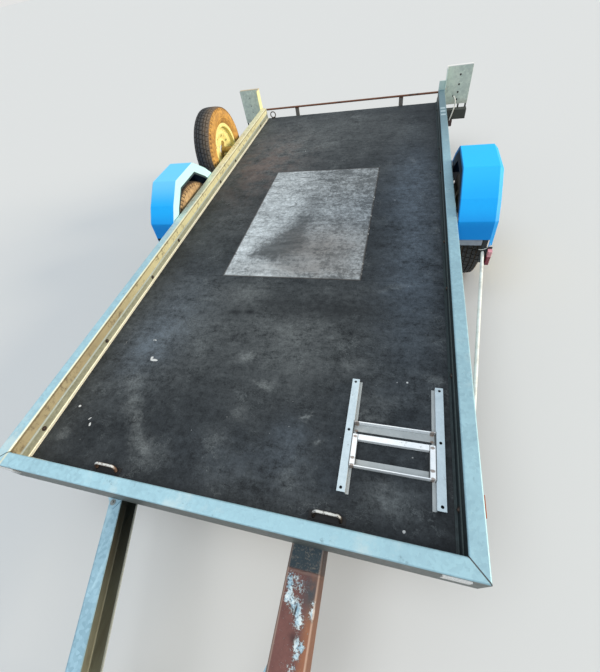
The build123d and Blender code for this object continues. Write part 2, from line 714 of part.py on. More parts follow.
# Junction box under the crossbeam's front edge, and the short lead from the right light board to it
JUNCTION_FROM_RAIL = 66.0
JUNCTION_WIDTH = 44.0
JUNCTION_DEPTH = 34.0
JUNCTION_HEIGHT = 40.0
JUNCTION_REACH = 22.0
JUNCTION_ROUND = 5.0
LEAD_RADIUS = 4.5
LEAD_BULGE = 20.0
LEAD_BEND = 0.45
LEAD_START = 18.0
LEAD_FORWARD = 44.0
LEAD_SAG = 14.0
LEAD_BEAM_GAP = 12.0
LEAD_KNEE = 59.0
junction_x = HALF_WIDTH + JUNCTION_FROM_RAIL
junction = block(
    about(junction_x, JUNCTION_WIDTH),
    (beam_y[0] - JUNCTION_REACH, beam_y[0] - JUNCTION_REACH + JUNCTION_DEPTH),
    (beam_z[0] - JUNCTION_HEIGHT, beam_z[0]),
)
save("junction_box", fillet(junction.edges().filter_by(Axis.Z), JUNCTION_ROUND))

grommet_x = HALF_WIDTH + GROMMET_FROM_RAIL
grommet_z = RAIL_TOP_Z - GROMMET_DROP
lead_down_y = beam_y[0] - LEAD_BEAM_GAP
lead_points = [
    Vector(grommet_x, board_front_y, grommet_z),
    Vector(grommet_x, board_front_y - LEAD_START, grommet_z),
    Vector(grommet_x + LEAD_BULGE, board_front_y - LEAD_FORWARD, grommet_z - LEAD_SAG),
    Vector(junction_x, lead_down_y, grommet_z - LEAD_KNEE),
    Vector(junction_x, lead_down_y, beam_z[0]),
]
lead_radii = []
for before, corner, after in zip(lead_points, lead_points[1:], lead_points[2:]):
    shorter = min((corner - before).length, (after - corner).length)
    turn = math.radians((corner - before).get_angle(after - corner))
    lead_radii.append(LEAD_BEND * shorter / math.tan(turn / 2))
print("lead radii", [round(radius, 1) for radius in lead_radii])
lead_path = FilletPolyline(*lead_points, radius=lead_radii)
lead_section = Plane(origin=lead_points[0], z_dir=(0, -1, 0)) * Circle(LEAD_RADIUS)
save("lamp_lead", sweep(lead_section, path=lead_path))

# Spare wheel: on a bracket at the left rail, its outer face towards the bed
SPARE_FROM_FRONT = 2354.0
SPARE_DROP = 19.0
SPARE_RAIL_GAP = 32.0
CARRIER_PLATE = 8.0
CARRIER_PLATE_WIDTH = 120.0
CARRIER_PLATE_INSET = 6.0
CARRIER_RADIUS = 20.0
CARRIER_BAR_THICK = 6.0
CARRIER_BAR_WIDTH = 34.0
CARRIER_BAR_LENGTH = 2 * STUD_CIRCLE + 26.0
CARRIER_BAR_ROUND = 12.0
CARRIER_STUD_REACH = 12.0
spare_x = -HALF_WIDTH - SPARE_RAIL_GAP - TYRE_WIDTH / 2
spare_y = along(SPARE_FROM_FRONT)
spare_z = RAIL_TOP_Z - SPARE_DROP
save("spare_rim", Pos(spare_x, spare_y, spare_z) * wheel_rim())
save("spare_tyre", Pos(spare_x, spare_y, spare_z) * tyre())

carrier_x = spare_x + DISC_OFFSET + RIM_SHEET
carrier = block(
    (-HALF_WIDTH - CARRIER_PLATE, -HALF_WIDTH),
    about(spare_y, CARRIER_PLATE_WIDTH),
    (RAIL_BOTTOM_Z + CARRIER_PLATE_INSET, RAIL_TOP_Z - CARRIER_PLATE_INSET),
)
carrier_root = (-HALF_WIDTH - WELD_LAP, spare_y, spare_z)
carrier += rod((carrier_x, spare_y, spare_z), carrier_root, CARRIER_RADIUS)
bar_x = (carrier_x, carrier_x + CARRIER_BAR_THICK)
stud_bar = block(bar_x, about(0, CARRIER_BAR_WIDTH), about(0, CARRIER_BAR_LENGTH))
stud_bar = fillet(stud_bar.edges().filter_by(Axis.X), CARRIER_BAR_ROUND)
carrier += Pos(0, spare_y, spare_z) * Rot(X=-STUD_TURN) * stud_bar
for y, z in stud_places[::2]:
    tip = (carrier_x - RIM_SHEET - CARRIER_STUD_REACH, spare_y + y, spare_z + z)
    carrier += rod(tip, (carrier_x + WELD_LAP, spare_y + y, spare_z + z), STUD_RADIUS)
save("spare_carrier", carrier)

# Drawbar arms: channels with their webs outward, from behind the second cross member to the head; the
# left one's slope comes from where its two ends lie
ARM_FRONT = HEAD_FRONT - 10.0
left_slope = (HALF_WIDTH - ARM_REAR_FROM_SIDE - ARM_FROM_HEAD_MIDDLE) / (ARM_REAR + HEAD_FRONT)
right_slope = math.tan(math.radians(RIGHT_ARM_ANGLE))
left_arm_angle = math.degrees(math.atan(left_slope))
left_arm_x = -ARM_FROM_HEAD_MIDDLE - HEAD_FRONT * left_slope


def channel_face():
    """Channel: web at u = 0, flanges towards +u, top at v = 0."""
    outline = [
        (0, 0),
        (ARM_FLANGE, 0),
        (ARM_FLANGE, -ARM_WALL),
        (ARM_WALL, -ARM_WALL),
        (ARM_WALL, -ARM_HEIGHT + ARM_WALL),
        (ARM_FLANGE, -ARM_HEIGHT + ARM_WALL),
        (ARM_FLANGE, -ARM_HEIGHT),
        (0, -ARM_HEIGHT),
    ]
    inner_bend = ARM_BEND - ARM_WALL
    return bent(outline, ((0, ARM_BEND), (7, ARM_BEND), (3, inner_bend), (4, inner_bend)))


def drawbar_channel(front_x, angle, rear):
    """Left-hand arm; front_x is where its middle crosses the bed's front edge."""
    turn = math.radians(angle)
    forward = Vector(math.sin(turn), -math.cos(turn), 0)
    inward = Vector(math.cos(turn), math.sin(turn), 0)
    middle = Vector(front_x - rear * math.tan(turn), along(rear), RAIL_BOTTOM_Z)
    corner = middle - inward * (ARM_FLANGE / 2)
    reach = (rear + ARM_FRONT) / math.cos(turn) + ARM_FLANGE
    arm = extrude(Plane(origin=corner, x_dir=inward, z_dir=forward) * channel_face(), reach)
    return split(arm, bisect_by=Plane(origin=(0, along(-ARM_FRONT), 0), z_dir=(0, 1, 0)), keep=Keep.TOP)


save("drawbar_arm_left", drawbar_channel(left_arm_x, left_arm_angle, ARM_REAR))

# The right arm is cut off and starts at the inner face of the straight box that repairs it
REPAIR_X = 320.0
REPAIR_WIDTH = 95.0
REPAIR_WALL = 5.0
REPAIR_CORNER = 8.0
REPAIR_FRONT = 410.0
REPAIR_REAR = 330.0
RIGHT_ARM_START = 255.0
repair_x = about(REPAIR_X, REPAIR_WIDTH)
right_half = ARM_FLANGE / 2 / math.cos(math.radians(RIGHT_ARM_ANGLE))
left_half = ARM_FLANGE / 2 / math.cos(math.radians(left_arm_angle))
right_front_x = repair_x[0] + right_half + RIGHT_ARM_START * right_slope
right_arm = mirror(drawbar_channel(-right_front_x, RIGHT_ARM_ANGLE, 0), about=Plane.YZ)
repair_face = Plane(origin=(repair_x[0], 0, 0), z_dir=(-1, 0, 0))
save("drawbar_arm_right", split(right_arm, bisect_by=repair_face, keep=Keep.TOP))

repair_y = (along(-REPAIR_FRONT), along(REPAIR_REAR))
repair_z = (RAIL_BOTTOM_Z - ARM_HEIGHT, RAIL_BOTTOM_Z)
repair = block(repair_x, repair_y, repair_z)
repair_hollow = block(
    (repair_x[0] + REPAIR_WALL, repair_x[1] - REPAIR_WALL),
    (repair_y[0] + REPAIR_WALL, repair_y[1]),
    (repair_z[0] + REPAIR_WALL, repair_z[1] - REPAIR_WALL),
)
repair = fillet(repair.edges().filter_by(Axis.Y), REPAIR_CORNER)
repair -= fillet(repair_hollow.edges().filter_by(Axis.Y), REPAIR_CORNER - REPAIR_WALL)
save("drawbar_repair_box", repair)


def arm_edges(distance):
    """Outer edges of the two arms this far ahead of the bed."""
    left = left_arm_x + distance * left_slope - left_half
    right = right_front_x - distance * right_slope + right_half
    return left, right


# Head: plates above and below the arms' ends
HEAD_PLATE = 6.0
HEAD_REAR = 720.0
rear_edges = arm_edges(HEAD_REAR)
front_edges = arm_edges(HEAD_FRONT)
head_outline = Polyline(
    (rear_edges[0], along(-HEAD_REAR)),
    (front_edges[0], along(-HEAD_FRONT)),
    (front_edges[1], along(-HEAD_FRONT)),
    (rear_edges[1], along(-HEAD_REAR)),
    close=True,
)
head_plate = extrude(make_face(head_outline), HEAD_PLATE)
head_levels = (RAIL_BOTTOM_Z, RAIL_BOTTOM_Z - ARM_HEIGHT - HEAD_PLATE)
save("drawbar_head_plates", together([Pos(0, 0, level) * head_plate for level in head_levels]))

# Ball coupling: a body that narrows to a round cup over the ball, with a flange bolted to the head
COUPLING_WIDTH = (96.0, 66.0)
COUPLING_HEIGHT = 48.0
COUPLING_REAR = 790.0
COUPLING_SOFT = 14.0
COUPLING_FLANGE = (120.0, 8.0)
COUPLING_FLANGE_FROM_FRONT = (800.0, 935.0)
CUP_RADIUS = 36.0
CUP_SOFT = 12.0
BALL_SOCKET_RADIUS = 25.2
BALL_SOCKET_DEPTH = 24.0
BALL_CROWN = (8.0, 14.0)
head_top_z = RAIL_BOTTOM_Z + HEAD_PLATE
coupling_top_z = head_top_z + COUPLING_HEIGHT
cup_y = along(-COUPLING_REACH + CUP_RADIUS)


def coupling_section(distance, width):
    """Inverted U outline of the body, this far ahead of the bed."""
    plane = Plane(origin=(0, along(-distance), head_top_z), x_dir=(1, 0, 0), z_dir=(0, -1, 0))
    outline = Pos(0, COUPLING_HEIGHT / 2) * Rectangle(width, COUPLING_HEIGHT)
    return plane * fillet(outline.vertices().group_by(Axis.Y)[-1], COUPLING_SOFT)


coupling = loft(
    [
        coupling_section(COUPLING_REAR, COUPLING_WIDTH[0]),
        coupling_section(COUPLING_REACH - CUP_RADIUS, COUPLING_WIDTH[1]),
    ],
    ruled=True,
)
cup = Pos(0, cup_y, head_top_z + COUPLING_HEIGHT / 2) * Cylinder(CUP_RADIUS, COUPLING_HEIGHT)
coupling += fillet(cup.edges().sort_by(Axis.Z)[-1], CUP_SOFT)
flange_y = tuple(along(-distance) for distance in reversed(COUPLING_FLANGE_FROM_FRONT))
coupling += block(about(0, COUPLING_FLANGE[0]), flange_y, (head_top_z, head_top_z + COUPLING_FLANGE[1]))
socket_z = head_top_z + BALL_SOCKET_DEPTH / 2
coupling -= Pos(0, cup_y, socket_z) * Cylinder(BALL_SOCKET_RADIUS, BALL_SOCKET_DEPTH)
coupling -= Pos(0, cup_y, head_top_z + BALL_SOCKET_DEPTH) * Cone(
    BALL_SOCKET_RADIUS, BALL_CROWN[0], BALL_CROWN[1], align=(Align.CENTER, Align.CENTER, Align.MIN)
)
save("coupling_head", coupling)

# Coupling lever: a folded handle over the body, pinned above the cup, with a gap for the fingers
LEVER_WIDTH = 30.0
# distance behind the cup's middle, height over the coupling's top
LEVER_OUTLINE = (
    (-12.0, 0.0),
    (34.0, 0.0),
    (56.0, 22.0),
    (156.0, 34.0),
    (170.0, 28.0),
    (172.0, 36.0),
    (154.0, 46.0),
    (52.0, 36.0),
    (0.0, 16.0),
    (-12.0, 10.0),
)
lever_points = [(cup_y + back, coupling_top_z + height) for back, height in LEVER_OUTLINE]
save("coupling_lever", across(lever_points, -LEVER_WIDTH / 2, LEVER_WIDTH / 2))

# Jockey wheel: clamped to the left arm; an inner tube that winds, a castor fork and a small wheel
JOCKEY_FROM_FRONT = 600.0
JOCKEY_TUBE_RADIUS = 24.0
JOCKEY_TUBE_WALL = 3.5
JOCKEY_CLEARANCE = 0.3
JOCKEY_INNER_RADIUS = JOCKEY_TUBE_RADIUS - JOCKEY_TUBE_WALL - JOCKEY_CLEARANCE
JOCKEY_INNER_WALL = 3.0
OUTER_TUBE_Z = (262.0, 640.0)
INNER_TUBE_TOP = 560.0
CLAMP_STAND_OFF = 14.0
CLAMP_RING = 8.0
CLAMP_HEIGHT = 60.0
CLAMP_DROP = 20.0
CLAMP_PAD_WIDTH = 56.0
CLAMP_PAD_START = 12.0
CLAMP_SCREW = (6.0, 42.0)
CLAMP_HANDLE = (4.5, 80.0)
arm_turn = math.radians(left_arm_angle)
stand_off = CLAMP_STAND_OFF + JOCKEY_TUBE_RADIUS
jockey_x = arm_edges(JOCKEY_FROM_FRONT)[0] - stand_off * math.cos(arm_turn)
jockey_y = along(-JOCKEY_FROM_FRONT) - stand_off * math.sin(arm_turn)


def tube(radius, wall, z):
    place = Pos(jockey_x, jockey_y, (z[0] + z[1]) / 2)
    return place * Cylinder(radius, z[1] - z[0]) - place * Cylinder(radius - wall, z[1] - z[0])


ring_radius = JOCKEY_TUBE_RADIUS + CLAMP_RING
clamp = Cylinder(ring_radius, CLAMP_HEIGHT)
clamp += block((CLAMP_PAD_START, stand_off), about(0, CLAMP_PAD_WIDTH), about(0, CLAMP_HEIGHT))
clamp -= Cylinder(JOCKEY_TUBE_RADIUS + SEAT_GAP, CLAMP_HEIGHT)
screw_end = -ring_radius - CLAMP_SCREW[1]
clamp += rod((screw_end, 0, 0), (WELD_LAP - ring_radius, 0, 0), CLAMP_SCREW[0])
clamp += Pos(screw_end, 0, 0) * Rot(X=90) * Cylinder(CLAMP_HANDLE[0], CLAMP_HANDLE[1])
clamp_z = RAIL_BOTTOM_Z - CLAMP_DROP - CLAMP_HEIGHT / 2
save("jockey_clamp", Pos(jockey_x, jockey_y, clamp_z) * Rot(Z=left_arm_angle) * clamp)
save("jockey_outer_tube", tube(JOCKEY_TUBE_RADIUS, JOCKEY_TUBE_WALL, OUTER_TUBE_Z))

JOCKEY_WHEEL_RADIUS = 80.0
JOCKEY_WHEEL_WIDTH = 42.0
JOCKEY_TRAIL = 36.0
JOCKEY_AXLE_RADIUS = 6.0
JOCKEY_PIN_RADIUS = 10.0
JOCKEY_PIN_LENGTH = 26.0
PIN_CLEARANCE = 0.05
PIN_END_GAP = 2.0
PLUG_CAP = 4.0
FORK_SHEET = 5.0
FORK_SIDE_GAP = 4.0
FORK_TOP_GAP = 12.0
crown_z = 2 * JOCKEY_WHEEL_RADIUS + FORK_TOP_GAP + FORK_SHEET
inner_low = crown_z + JOCKEY_CLEARANCE
plug_length = JOCKEY_PIN_LENGTH + PLUG_CAP
inner_tube = tube(JOCKEY_INNER_RADIUS, JOCKEY_INNER_WALL, (inner_low, INNER_TUBE_TOP))
inner_tube += Pos(jockey_x, jockey_y, inner_low + plug_length / 2) * Cylinder(
    JOCKEY_INNER_RADIUS - WELD_LAP, plug_length
)
inner_tube -= Pos(jockey_x, jockey_y, inner_low + JOCKEY_PIN_LENGTH / 2) * Cylinder(
    JOCKEY_PIN_RADIUS + PIN_CLEARANCE, JOCKEY_PIN_LENGTH
)
save("jockey_inner_tube", inner_tube)

# Fork: a crown plate with a pin up into the tube, and two tapered legs down to the wheel's axle
FORK_CROWN = (26.0, 40.0)
FORK_EYE = 16.0
FORK_AXLE_PROUD = 6.0
roller_y = jockey_y + JOCKEY_TRAIL
fork_inner = JOCKEY_WHEEL_WIDTH / 2 + FORK_SIDE_GAP
fork_outer = fork_inner + FORK_SHEET
crown_y = (jockey_y - FORK_CROWN[0], jockey_y + FORK_CROWN[1])
fork = block(about(jockey_x, 2 * fork_outer), crown_y, (crown_z - FORK_SHEET, crown_z))
leg_outline = [
    (crown_y[0], crown_z),
    (crown_y[1], crown_z),
    (roller_y + FORK_EYE, JOCKEY_WHEEL_RADIUS - FORK_EYE / 2),
    (roller_y + FORK_EYE / 2, JOCKEY_WHEEL_RADIUS - FORK_EYE),
    (roller_y - FORK_EYE / 2, JOCKEY_WHEEL_RADIUS - FORK_EYE),
    (roller_y - FORK_EYE, JOCKEY_WHEEL_RADIUS - FORK_EYE / 2),
]
for start in (-fork_outer, fork_inner):
    fork += across(leg_outline, jockey_x + start, jockey_x + start + FORK_SHEET)
axle_reach = fork_outer + FORK_AXLE_PROUD
fork += rod(
    (jockey_x - axle_reach, roller_y, JOCKEY_WHEEL_RADIUS),
    (jockey_x + axle_reach, roller_y, JOCKEY_WHEEL_RADIUS),
    JOCKEY_AXLE_RADIUS,
)
pin_top = (jockey_x, jockey_y, crown_z + JOCKEY_PIN_LENGTH - PIN_END_GAP)
fork += rod((jockey_x, jockey_y, crown_z - WELD_LAP), pin_top, JOCKEY_PIN_RADIUS)
save("jockey_fork", fork)

ROLLER_BOSS = 18.0
ROLLER_BOSS_PROUD = 3.0
ROLLER_WEB_INSET = 12.0
ROLLER_TREAD_DEPTH = 28.0
ROLLER_EDGE = 8.0
roller_half = [
    (JOCKEY_WHEEL_WIDTH / 2 + ROLLER_BOSS_PROUD, JOCKEY_AXLE_RADIUS + PIN_CLEARANCE),
    (JOCKEY_WHEEL_WIDTH / 2 + ROLLER_BOSS_PROUD, ROLLER_BOSS),
    (JOCKEY_WHEEL_WIDTH / 2 - ROLLER_WEB_INSET, ROLLER_BOSS),
    (JOCKEY_WHEEL_WIDTH / 2 - ROLLER_WEB_INSET, JOCKEY_WHEEL_RADIUS - ROLLER_TREAD_DEPTH),
    (JOCKEY_WHEEL_WIDTH / 2, JOCKEY_WHEEL_RADIUS - ROLLER_TREAD_DEPTH),
    (JOCKEY_WHEEL_WIDTH / 2, JOCKEY_WHEEL_RADIUS - ROLLER_EDGE),
    (JOCKEY_WHEEL_WIDTH / 2 - ROLLER_EDGE, JOCKEY_WHEEL_RADIUS),
]
roller_outline = roller_half + [(-x, radius) for x, radius in reversed(roller_half)]
save("jockey_wheel", turned(roller_outline, (jockey_x, roller_y, JOCKEY_WHEEL_RADIUS)))

# Crank: a cap on the outer tube, a shaft, a level arm and a grip
CRANK_REACH = 110.0
CRANK_ROD = 6.0
CRANK_CAP = (26.0, 10.0)
CRANK_ARM_RISE = 36.0
CRANK_PROUD = 9.0
CRANK_LAP = 4.0
GRIP_RADIUS = 12.0
GRIP_RISE = (50.0, 128.0)
crank_low = OUTER_TUBE_Z[1]
arm_z = crank_low + CRANK_ARM_RISE
crank_y = jockey_y - CRANK_REACH
crank = Pos(jockey_x, jockey_y, crank_low + CRANK_CAP[1] / 2) * Cylinder(*CRANK_CAP)
crank += rod(
    (jockey_x, jockey_y, crank_low + WELD_LAP), (jockey_x, jockey_y, arm_z + CRANK_LAP), CRANK_ROD
)
crank += rod(
    (jockey_x, jockey_y + CRANK_PROUD, arm_z), (jockey_x, crank_y - CRANK_PROUD, arm_z), CRANK_ROD
)
crank += rod(
    (jockey_x, crank_y, arm_z - CRANK_LAP),
    (jockey_x, crank_y, crank_low + GRIP_RISE[0] + WELD_LAP),
    CRANK_ROD,
)
crank += rod(
    (jockey_x, crank_y, crank_low + GRIP_RISE[0]), (jockey_x, crank_y, crank_low + GRIP_RISE[1]), GRIP_RADIUS
)
save("jockey_crank", crank)

# Lashing points: two rod loops that lean back behind the front rail, and a ring at the left rear
STAPLE_ROD = 5.0
STAPLE_HALF = 38.0
STAPLE_RISE = 24.0
STAPLE_LEAN = 10.0
STAPLE_BEND = 12.0
STAPLE_FROM_RAIL = 12.0
STAPLE_X = (-373.0, 367.0)
FOOT_PLATE = 3.0
FOOT_PLATE_MARGIN = 14.0
FOOT_PLATE_FRONT = 2.0
RING_FROM_SIDE = 103.0
RING_RADIUS = 22.0
RING_ROD = 4.0
RING_FROM_REAR = 10.0
RING_PLATE = (32.0, 18.0)


def staple(x):
    foot_y = along(RAIL_INNER + RAIL_LIP + STAPLE_FROM_RAIL)
    bar_y = foot_y + STAPLE_LEAN
    low = DECK_TOP_Z + WELD_LAP
    high = DECK_TOP_Z + STAPLE_RISE
    path = FilletPolyline(
        (x - STAPLE_HALF, foot_y, low),
        (x - STAPLE_HALF, bar_y, high),
        (x + STAPLE_HALF, bar_y, high),
        (x + STAPLE_HALF, foot_y, low),
        radius=STAPLE_BEND,
    )
    section = Plane(origin=(x - STAPLE_HALF, foot_y, low), z_dir=(0, STAPLE_LEAN, high - low))
    loop = sweep(section * Circle(STAPLE_ROD), path=path)
    plate_y = (foot_y - STAPLE_ROD - FOOT_PLATE_FRONT, foot_y + FOOT_PLATE_MARGIN)
    plate_x = about(x, 2 * (STAPLE_HALF + FOOT_PLATE_MARGIN))
    plate = block(plate_x, plate_y, (DECK_TOP_Z, DECK_TOP_Z + FOOT_PLATE))
    below = block(plate_x, plate_y, (DECK_TOP_Z - STAPLE_ROD * 2, DECK_TOP_Z))
    return plate + (loop - below)


save("lashing_staples", together([staple(x) for x in STAPLE_X]))

ring_place = (RING_FROM_SIDE - HALF_WIDTH, along(BED_LENGTH - RING_FROM_REAR))
ring_z = DECK_TOP_Z + FOOT_PLATE + RING_RADIUS + RING_ROD - WELD_LAP
ring = Pos(*ring_place, ring_z) * Rot(X=90) * Torus(RING_RADIUS, RING_ROD)
ring += block(
    about(ring_place[0], RING_PLATE[0]),
    about(ring_place[1], RING_PLATE[1]),
    (DECK_TOP_Z, DECK_TOP_Z + FOOT_PLATE),
)
save("rear_ring", ring)

# Wheel chock frame, unbolted and lying on the deck: two drilled Z bars, joined by two angles, with a
# welded rectangle of square tube against the front angle
CHOCK_FROM_SIDE = 77.0
CHOCK_FROM_FRONT = 141.0
CHOCK_WIDTH = 290.0
CHOCK_LENGTH = 368.0
CHOCK_TOP = 24.0
CHOCK_FOOT = 9.0
CHOCK_HEIGHT = 22.0
CHOCK_SHEET = 3.0
CHOCK_HOLE_RADIUS = 4.5
CHOCK_HOLE_INSET = 11.0
CHOCK_HOLE_FROM_EDGE = 11.0
CHOCK_ANGLE = 26.0
CHOCK_FRONT_ANGLE = 76.0
CHOCK_REAR_ANGLE = 215.0
CHOCK_TUBE = 17.0
CHOCK_TUBE_REAR = 174.0
chock_x = (HALF_WIDTH - CHOCK_FROM_SIDE - CHOCK_WIDTH, HALF_WIDTH - CHOCK_FROM_SIDE)
chock_y = (along(CHOCK_FROM_FRONT), along(CHOCK_FROM_FRONT + CHOCK_LENGTH))
chock_middle = (chock_x[0] + chock_x[1]) / 2
chock_top_z = DECK_TOP_Z + CHOCK_HEIGHT


def chock_bar():
    """Right-hand Z bar: top flange outward, web, foot inward, a hole at each end and the middle."""
    inner_x = chock_x[1] - CHOCK_TOP
    bar = block((inner_x, chock_x[1]), chock_y, (chock_top_z - CHOCK_SHEET, chock_top_z))
    bar += block((inner_x, inner_x + CHOCK_SHEET), chock_y, (DECK_TOP_Z, chock_top_z))
    foot_x = (inner_x - CHOCK_FOOT, inner_x + CHOCK_SHEET)
    bar += block(foot_x, chock_y, (DECK_TOP_Z, DECK_TOP_Z + CHOCK_SHEET))
    places = (chock_y[0] + CHOCK_HOLE_INSET, (chock_y[0] + chock_y[1]) / 2, chock_y[1] - CHOCK_HOLE_INSET)
    hole_x = chock_x[1] - CHOCK_HOLE_FROM_EDGE
    for y in places:
        bar -= Pos(hole_x, y, chock_top_z) * Cylinder(CHOCK_HOLE_RADIUS, CHOCK_TUBE)
    return bar


inner_half = CHOCK_WIDTH / 2 - CHOCK_TOP
cross_x = (chock_middle - inner_half, chock_middle + inner_half)
flat_z = (DECK_TOP_Z, DECK_TOP_Z + CHOCK_SHEET)
front_y = chock_y[0] + CHOCK_FRONT_ANGLE
rear_y = chock_y[0] + CHOCK_REAR_ANGLE
tube_rear_y = chock_y[0] + CHOCK_TUBE_REAR
tube_z = (DECK_TOP_Z + CHOCK_SHEET, DECK_TOP_Z + CHOCK_SHEET + CHOCK_TUBE)
right_bar = chock_bar()
left_bar = Pos(2 * chock_middle, 0, 0) * mirror(right_bar, about=Plane.YZ)
chock = right_bar + left_bar
chock += block(cross_x, (front_y, front_y + CHOCK_SHEET), (DECK_TOP_Z, chock_top_z))
chock += block(cross_x, (front_y, front_y + CHOCK_ANGLE), flat_z)
chock += block(cross_x, (rear_y - CHOCK_SHEET, rear_y), (DECK_TOP_Z, chock_top_z))
chock += block(cross_x, (rear_y - CHOCK_ANGLE, rear_y), flat_z)
chock += block(about(chock_middle, 2 * inner_half), (tube_rear_y - CHOCK_TUBE, tube_rear_y), tube_z)
for side in (-1, 1):
    side_x = about(chock_middle + side * (inner_half - CHOCK_TUBE / 2), CHOCK_TUBE)
    chock += block(side_x, (front_y, tube_rear_y), tube_z)
save("chock_frame", chock)
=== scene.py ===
import math

import bpy
from mathutils import Matrix, Vector


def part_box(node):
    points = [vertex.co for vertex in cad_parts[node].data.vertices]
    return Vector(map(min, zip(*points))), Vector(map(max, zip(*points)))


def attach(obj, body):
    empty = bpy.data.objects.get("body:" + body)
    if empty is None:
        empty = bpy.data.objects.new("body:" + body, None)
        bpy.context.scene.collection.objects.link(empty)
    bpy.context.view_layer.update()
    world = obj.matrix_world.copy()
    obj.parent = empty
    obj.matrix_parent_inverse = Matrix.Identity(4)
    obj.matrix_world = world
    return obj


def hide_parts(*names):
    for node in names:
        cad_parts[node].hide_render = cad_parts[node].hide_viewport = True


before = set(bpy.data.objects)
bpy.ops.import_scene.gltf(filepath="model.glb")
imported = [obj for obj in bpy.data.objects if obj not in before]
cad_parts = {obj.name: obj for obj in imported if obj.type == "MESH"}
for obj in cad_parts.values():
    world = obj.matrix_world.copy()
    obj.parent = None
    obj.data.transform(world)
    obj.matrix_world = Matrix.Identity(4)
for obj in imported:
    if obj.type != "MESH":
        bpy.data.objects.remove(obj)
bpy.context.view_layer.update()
bpy.ops.object.select_all(action="DESELECT")

# Rails: the galvanised frame of the bed, one folded section with a step in its inner wall, mitred
# and welded at the front corners. The tops have gone pale. Painted warm sunlight lies on the left
# inner wall over its dust and wood stains, and painted shade on the right inner wall, the front
# face and the right rail's rear part.


class Shade:
    """A shader socket in a Python expression, in the material that was begun last."""

    tree = None

    def __init__(self, socket):
        self.socket = socket

    @classmethod
    def begin(cls, name):
        material = bpy.data.materials.new(name)
        material.use_nodes = True
        material.node_tree.nodes.clear()
        cls.tree = material.node_tree
        return material

    @classmethod
    def node(cls, kind, settings=None, inputs=None, output=0):
        """One node: its settings first, then its sockets' values or links."""
        made = cls.tree.nodes.new("ShaderNode" + kind)
        for name, value in (settings or {}).items():
            setattr(made, name, value)
        for name, value in (inputs or {}).items():
            if isinstance(value, Shade):
                cls.tree.links.new(value.socket, made.inputs[name])
            else:
                made.inputs[name].default_value = value
        return cls(made.outputs[output]) if made.outputs else None

    def math(self, operation, other=0.0, swap=False):
        values = {0: other, 1: self} if swap else {0: self, 1: other}
        return Shade.node("Math", {"operation": operation}, values)

    def __add__(self, other):
        return self.math("ADD", other)

    def __sub__(self, other):
        return self.math("SUBTRACT", other)

    def __rsub__(self, other):
        return self.math("SUBTRACT", other, swap=True)

    def __mul__(self, other):
        return self.math("MULTIPLY", other)

    def __truediv__(self, other):
        return self.math("DIVIDE", other)

    def __neg__(self):
        return self.math("MULTIPLY", -1)

    __radd__ = __add__
    __rmul__ = __mul__

    def size(self):
        """The value without its sign."""
        return self.math("ABSOLUTE")

    def under(self, other):
        return self.math("MINIMUM", other)

    def over(self, other):
        return self.math("MAXIMUM", other)

    def step(self, low, high):
        """0 below low, 1 above high, smooth between; a low above high turns it round."""
        values = {"Value": self, "From Min": low, "From Max": high}
        return Shade.node("MapRange", {"interpolation_type": "SMOOTHSTEP"}, values)

    def past(self, soft):
        """0 where this is below zero and 1 above it, with a soft edge this wide to each side."""
        return self.step(-soft, soft)

    def blend(self, under, over):
        """Colour that goes from under to over as this mask goes from 0 to 1."""
        values = {0: self}
        for index, colour in ((6, under), (7, over)):
            values[index] = colour if isinstance(colour, Shade) else (*colour, 1)
        return Shade.node("Mix", {"data_type": "RGBA"}, values, 2)


def place():
    """X, Y and Z of the point, in the part's own frame."""
    where = Shade.node("TexCoord", output="Object")
    split = Shade.node("SeparateXYZ", None, {0: where})
    return tuple(Shade(socket) for socket in split.socket.node.outputs)


def stretched(factors):
    """The point's place with each axis stretched, so that a pattern draws out along one of them."""
    where = Shade.node("TexCoord", output="Object")
    return Shade.node("VectorMath", {"operation": "MULTIPLY"}, {0: where, 1: factors})


def cloud(scale, detail=4.0, rough=0.6, stretch=(1, 1, 1)):
    """Soft noise with this many features to the metre."""
    values = {"Vector": stretched(stretch), "Scale": scale, "Detail": detail, "Roughness": rough}
    return Shade.node("TexNoise", None, values)


def facing(axis):
    """The surface normal's part along an axis."""
    normal = Shade.node("NewGeometry", output="Normal")
    split = Shade.node("SeparateXYZ", None, {0: normal})
    return Shade(split.socket.node.outputs[axis])


def spangle(scale):
    """Crystal cells of a zinc coat, each a little lighter or darker."""
    values = {"Vector": stretched((1, 1, 1)), "Scale": scale, "Randomness": 1.0}
    cells = Shade.node("TexVoronoi", None, values, "Color")
    return Shade(Shade.node("SeparateColor", None, {0: cells}).socket.node.outputs[0])


def finished(material, colour, rough, metal=0.0, relief=None, height=0.0004, **constants):
    """Closes the material that was begun: what varies is linked, constants go on the shader."""
    colour = colour if isinstance(colour, Shade) else (*colour, 1)
    values = {"Base Color": colour, "Roughness": rough, "Metallic": metal}
    values.update({name.replace("_", " "): value for name, value in constants.items()})
    if relief is not None:
        values["Normal"] = Shade.node("Bump", None, {"Distance": height, "Height": relief})
    shader = Shade.node("BsdfPrincipled", None, values)
    Shade.node("OutputMaterial", None, {"Surface": shader})
    return material


def painted(material, *nodes):
    """Gives solids that are shown as they are their material."""
    for node in nodes:
        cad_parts[node].data.materials.clear()
        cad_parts[node].data.materials.append(material)


rail_low, rail_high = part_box("front_rail")
bed_front = rail_low.y
rail_top = rail_high.z
half_bed = rail_high.x
# the section's top flange, the step in its inner wall below it and the lip at the deck
RAIL_FLANGE = 0.045
STEP_DROP = 0.046
STEP_IN = 0.003
LIP_DROP = 0.070
CREASE_DROP = 0.009
# half the width over which the tone changes at an edge
KEEN = 0.0006

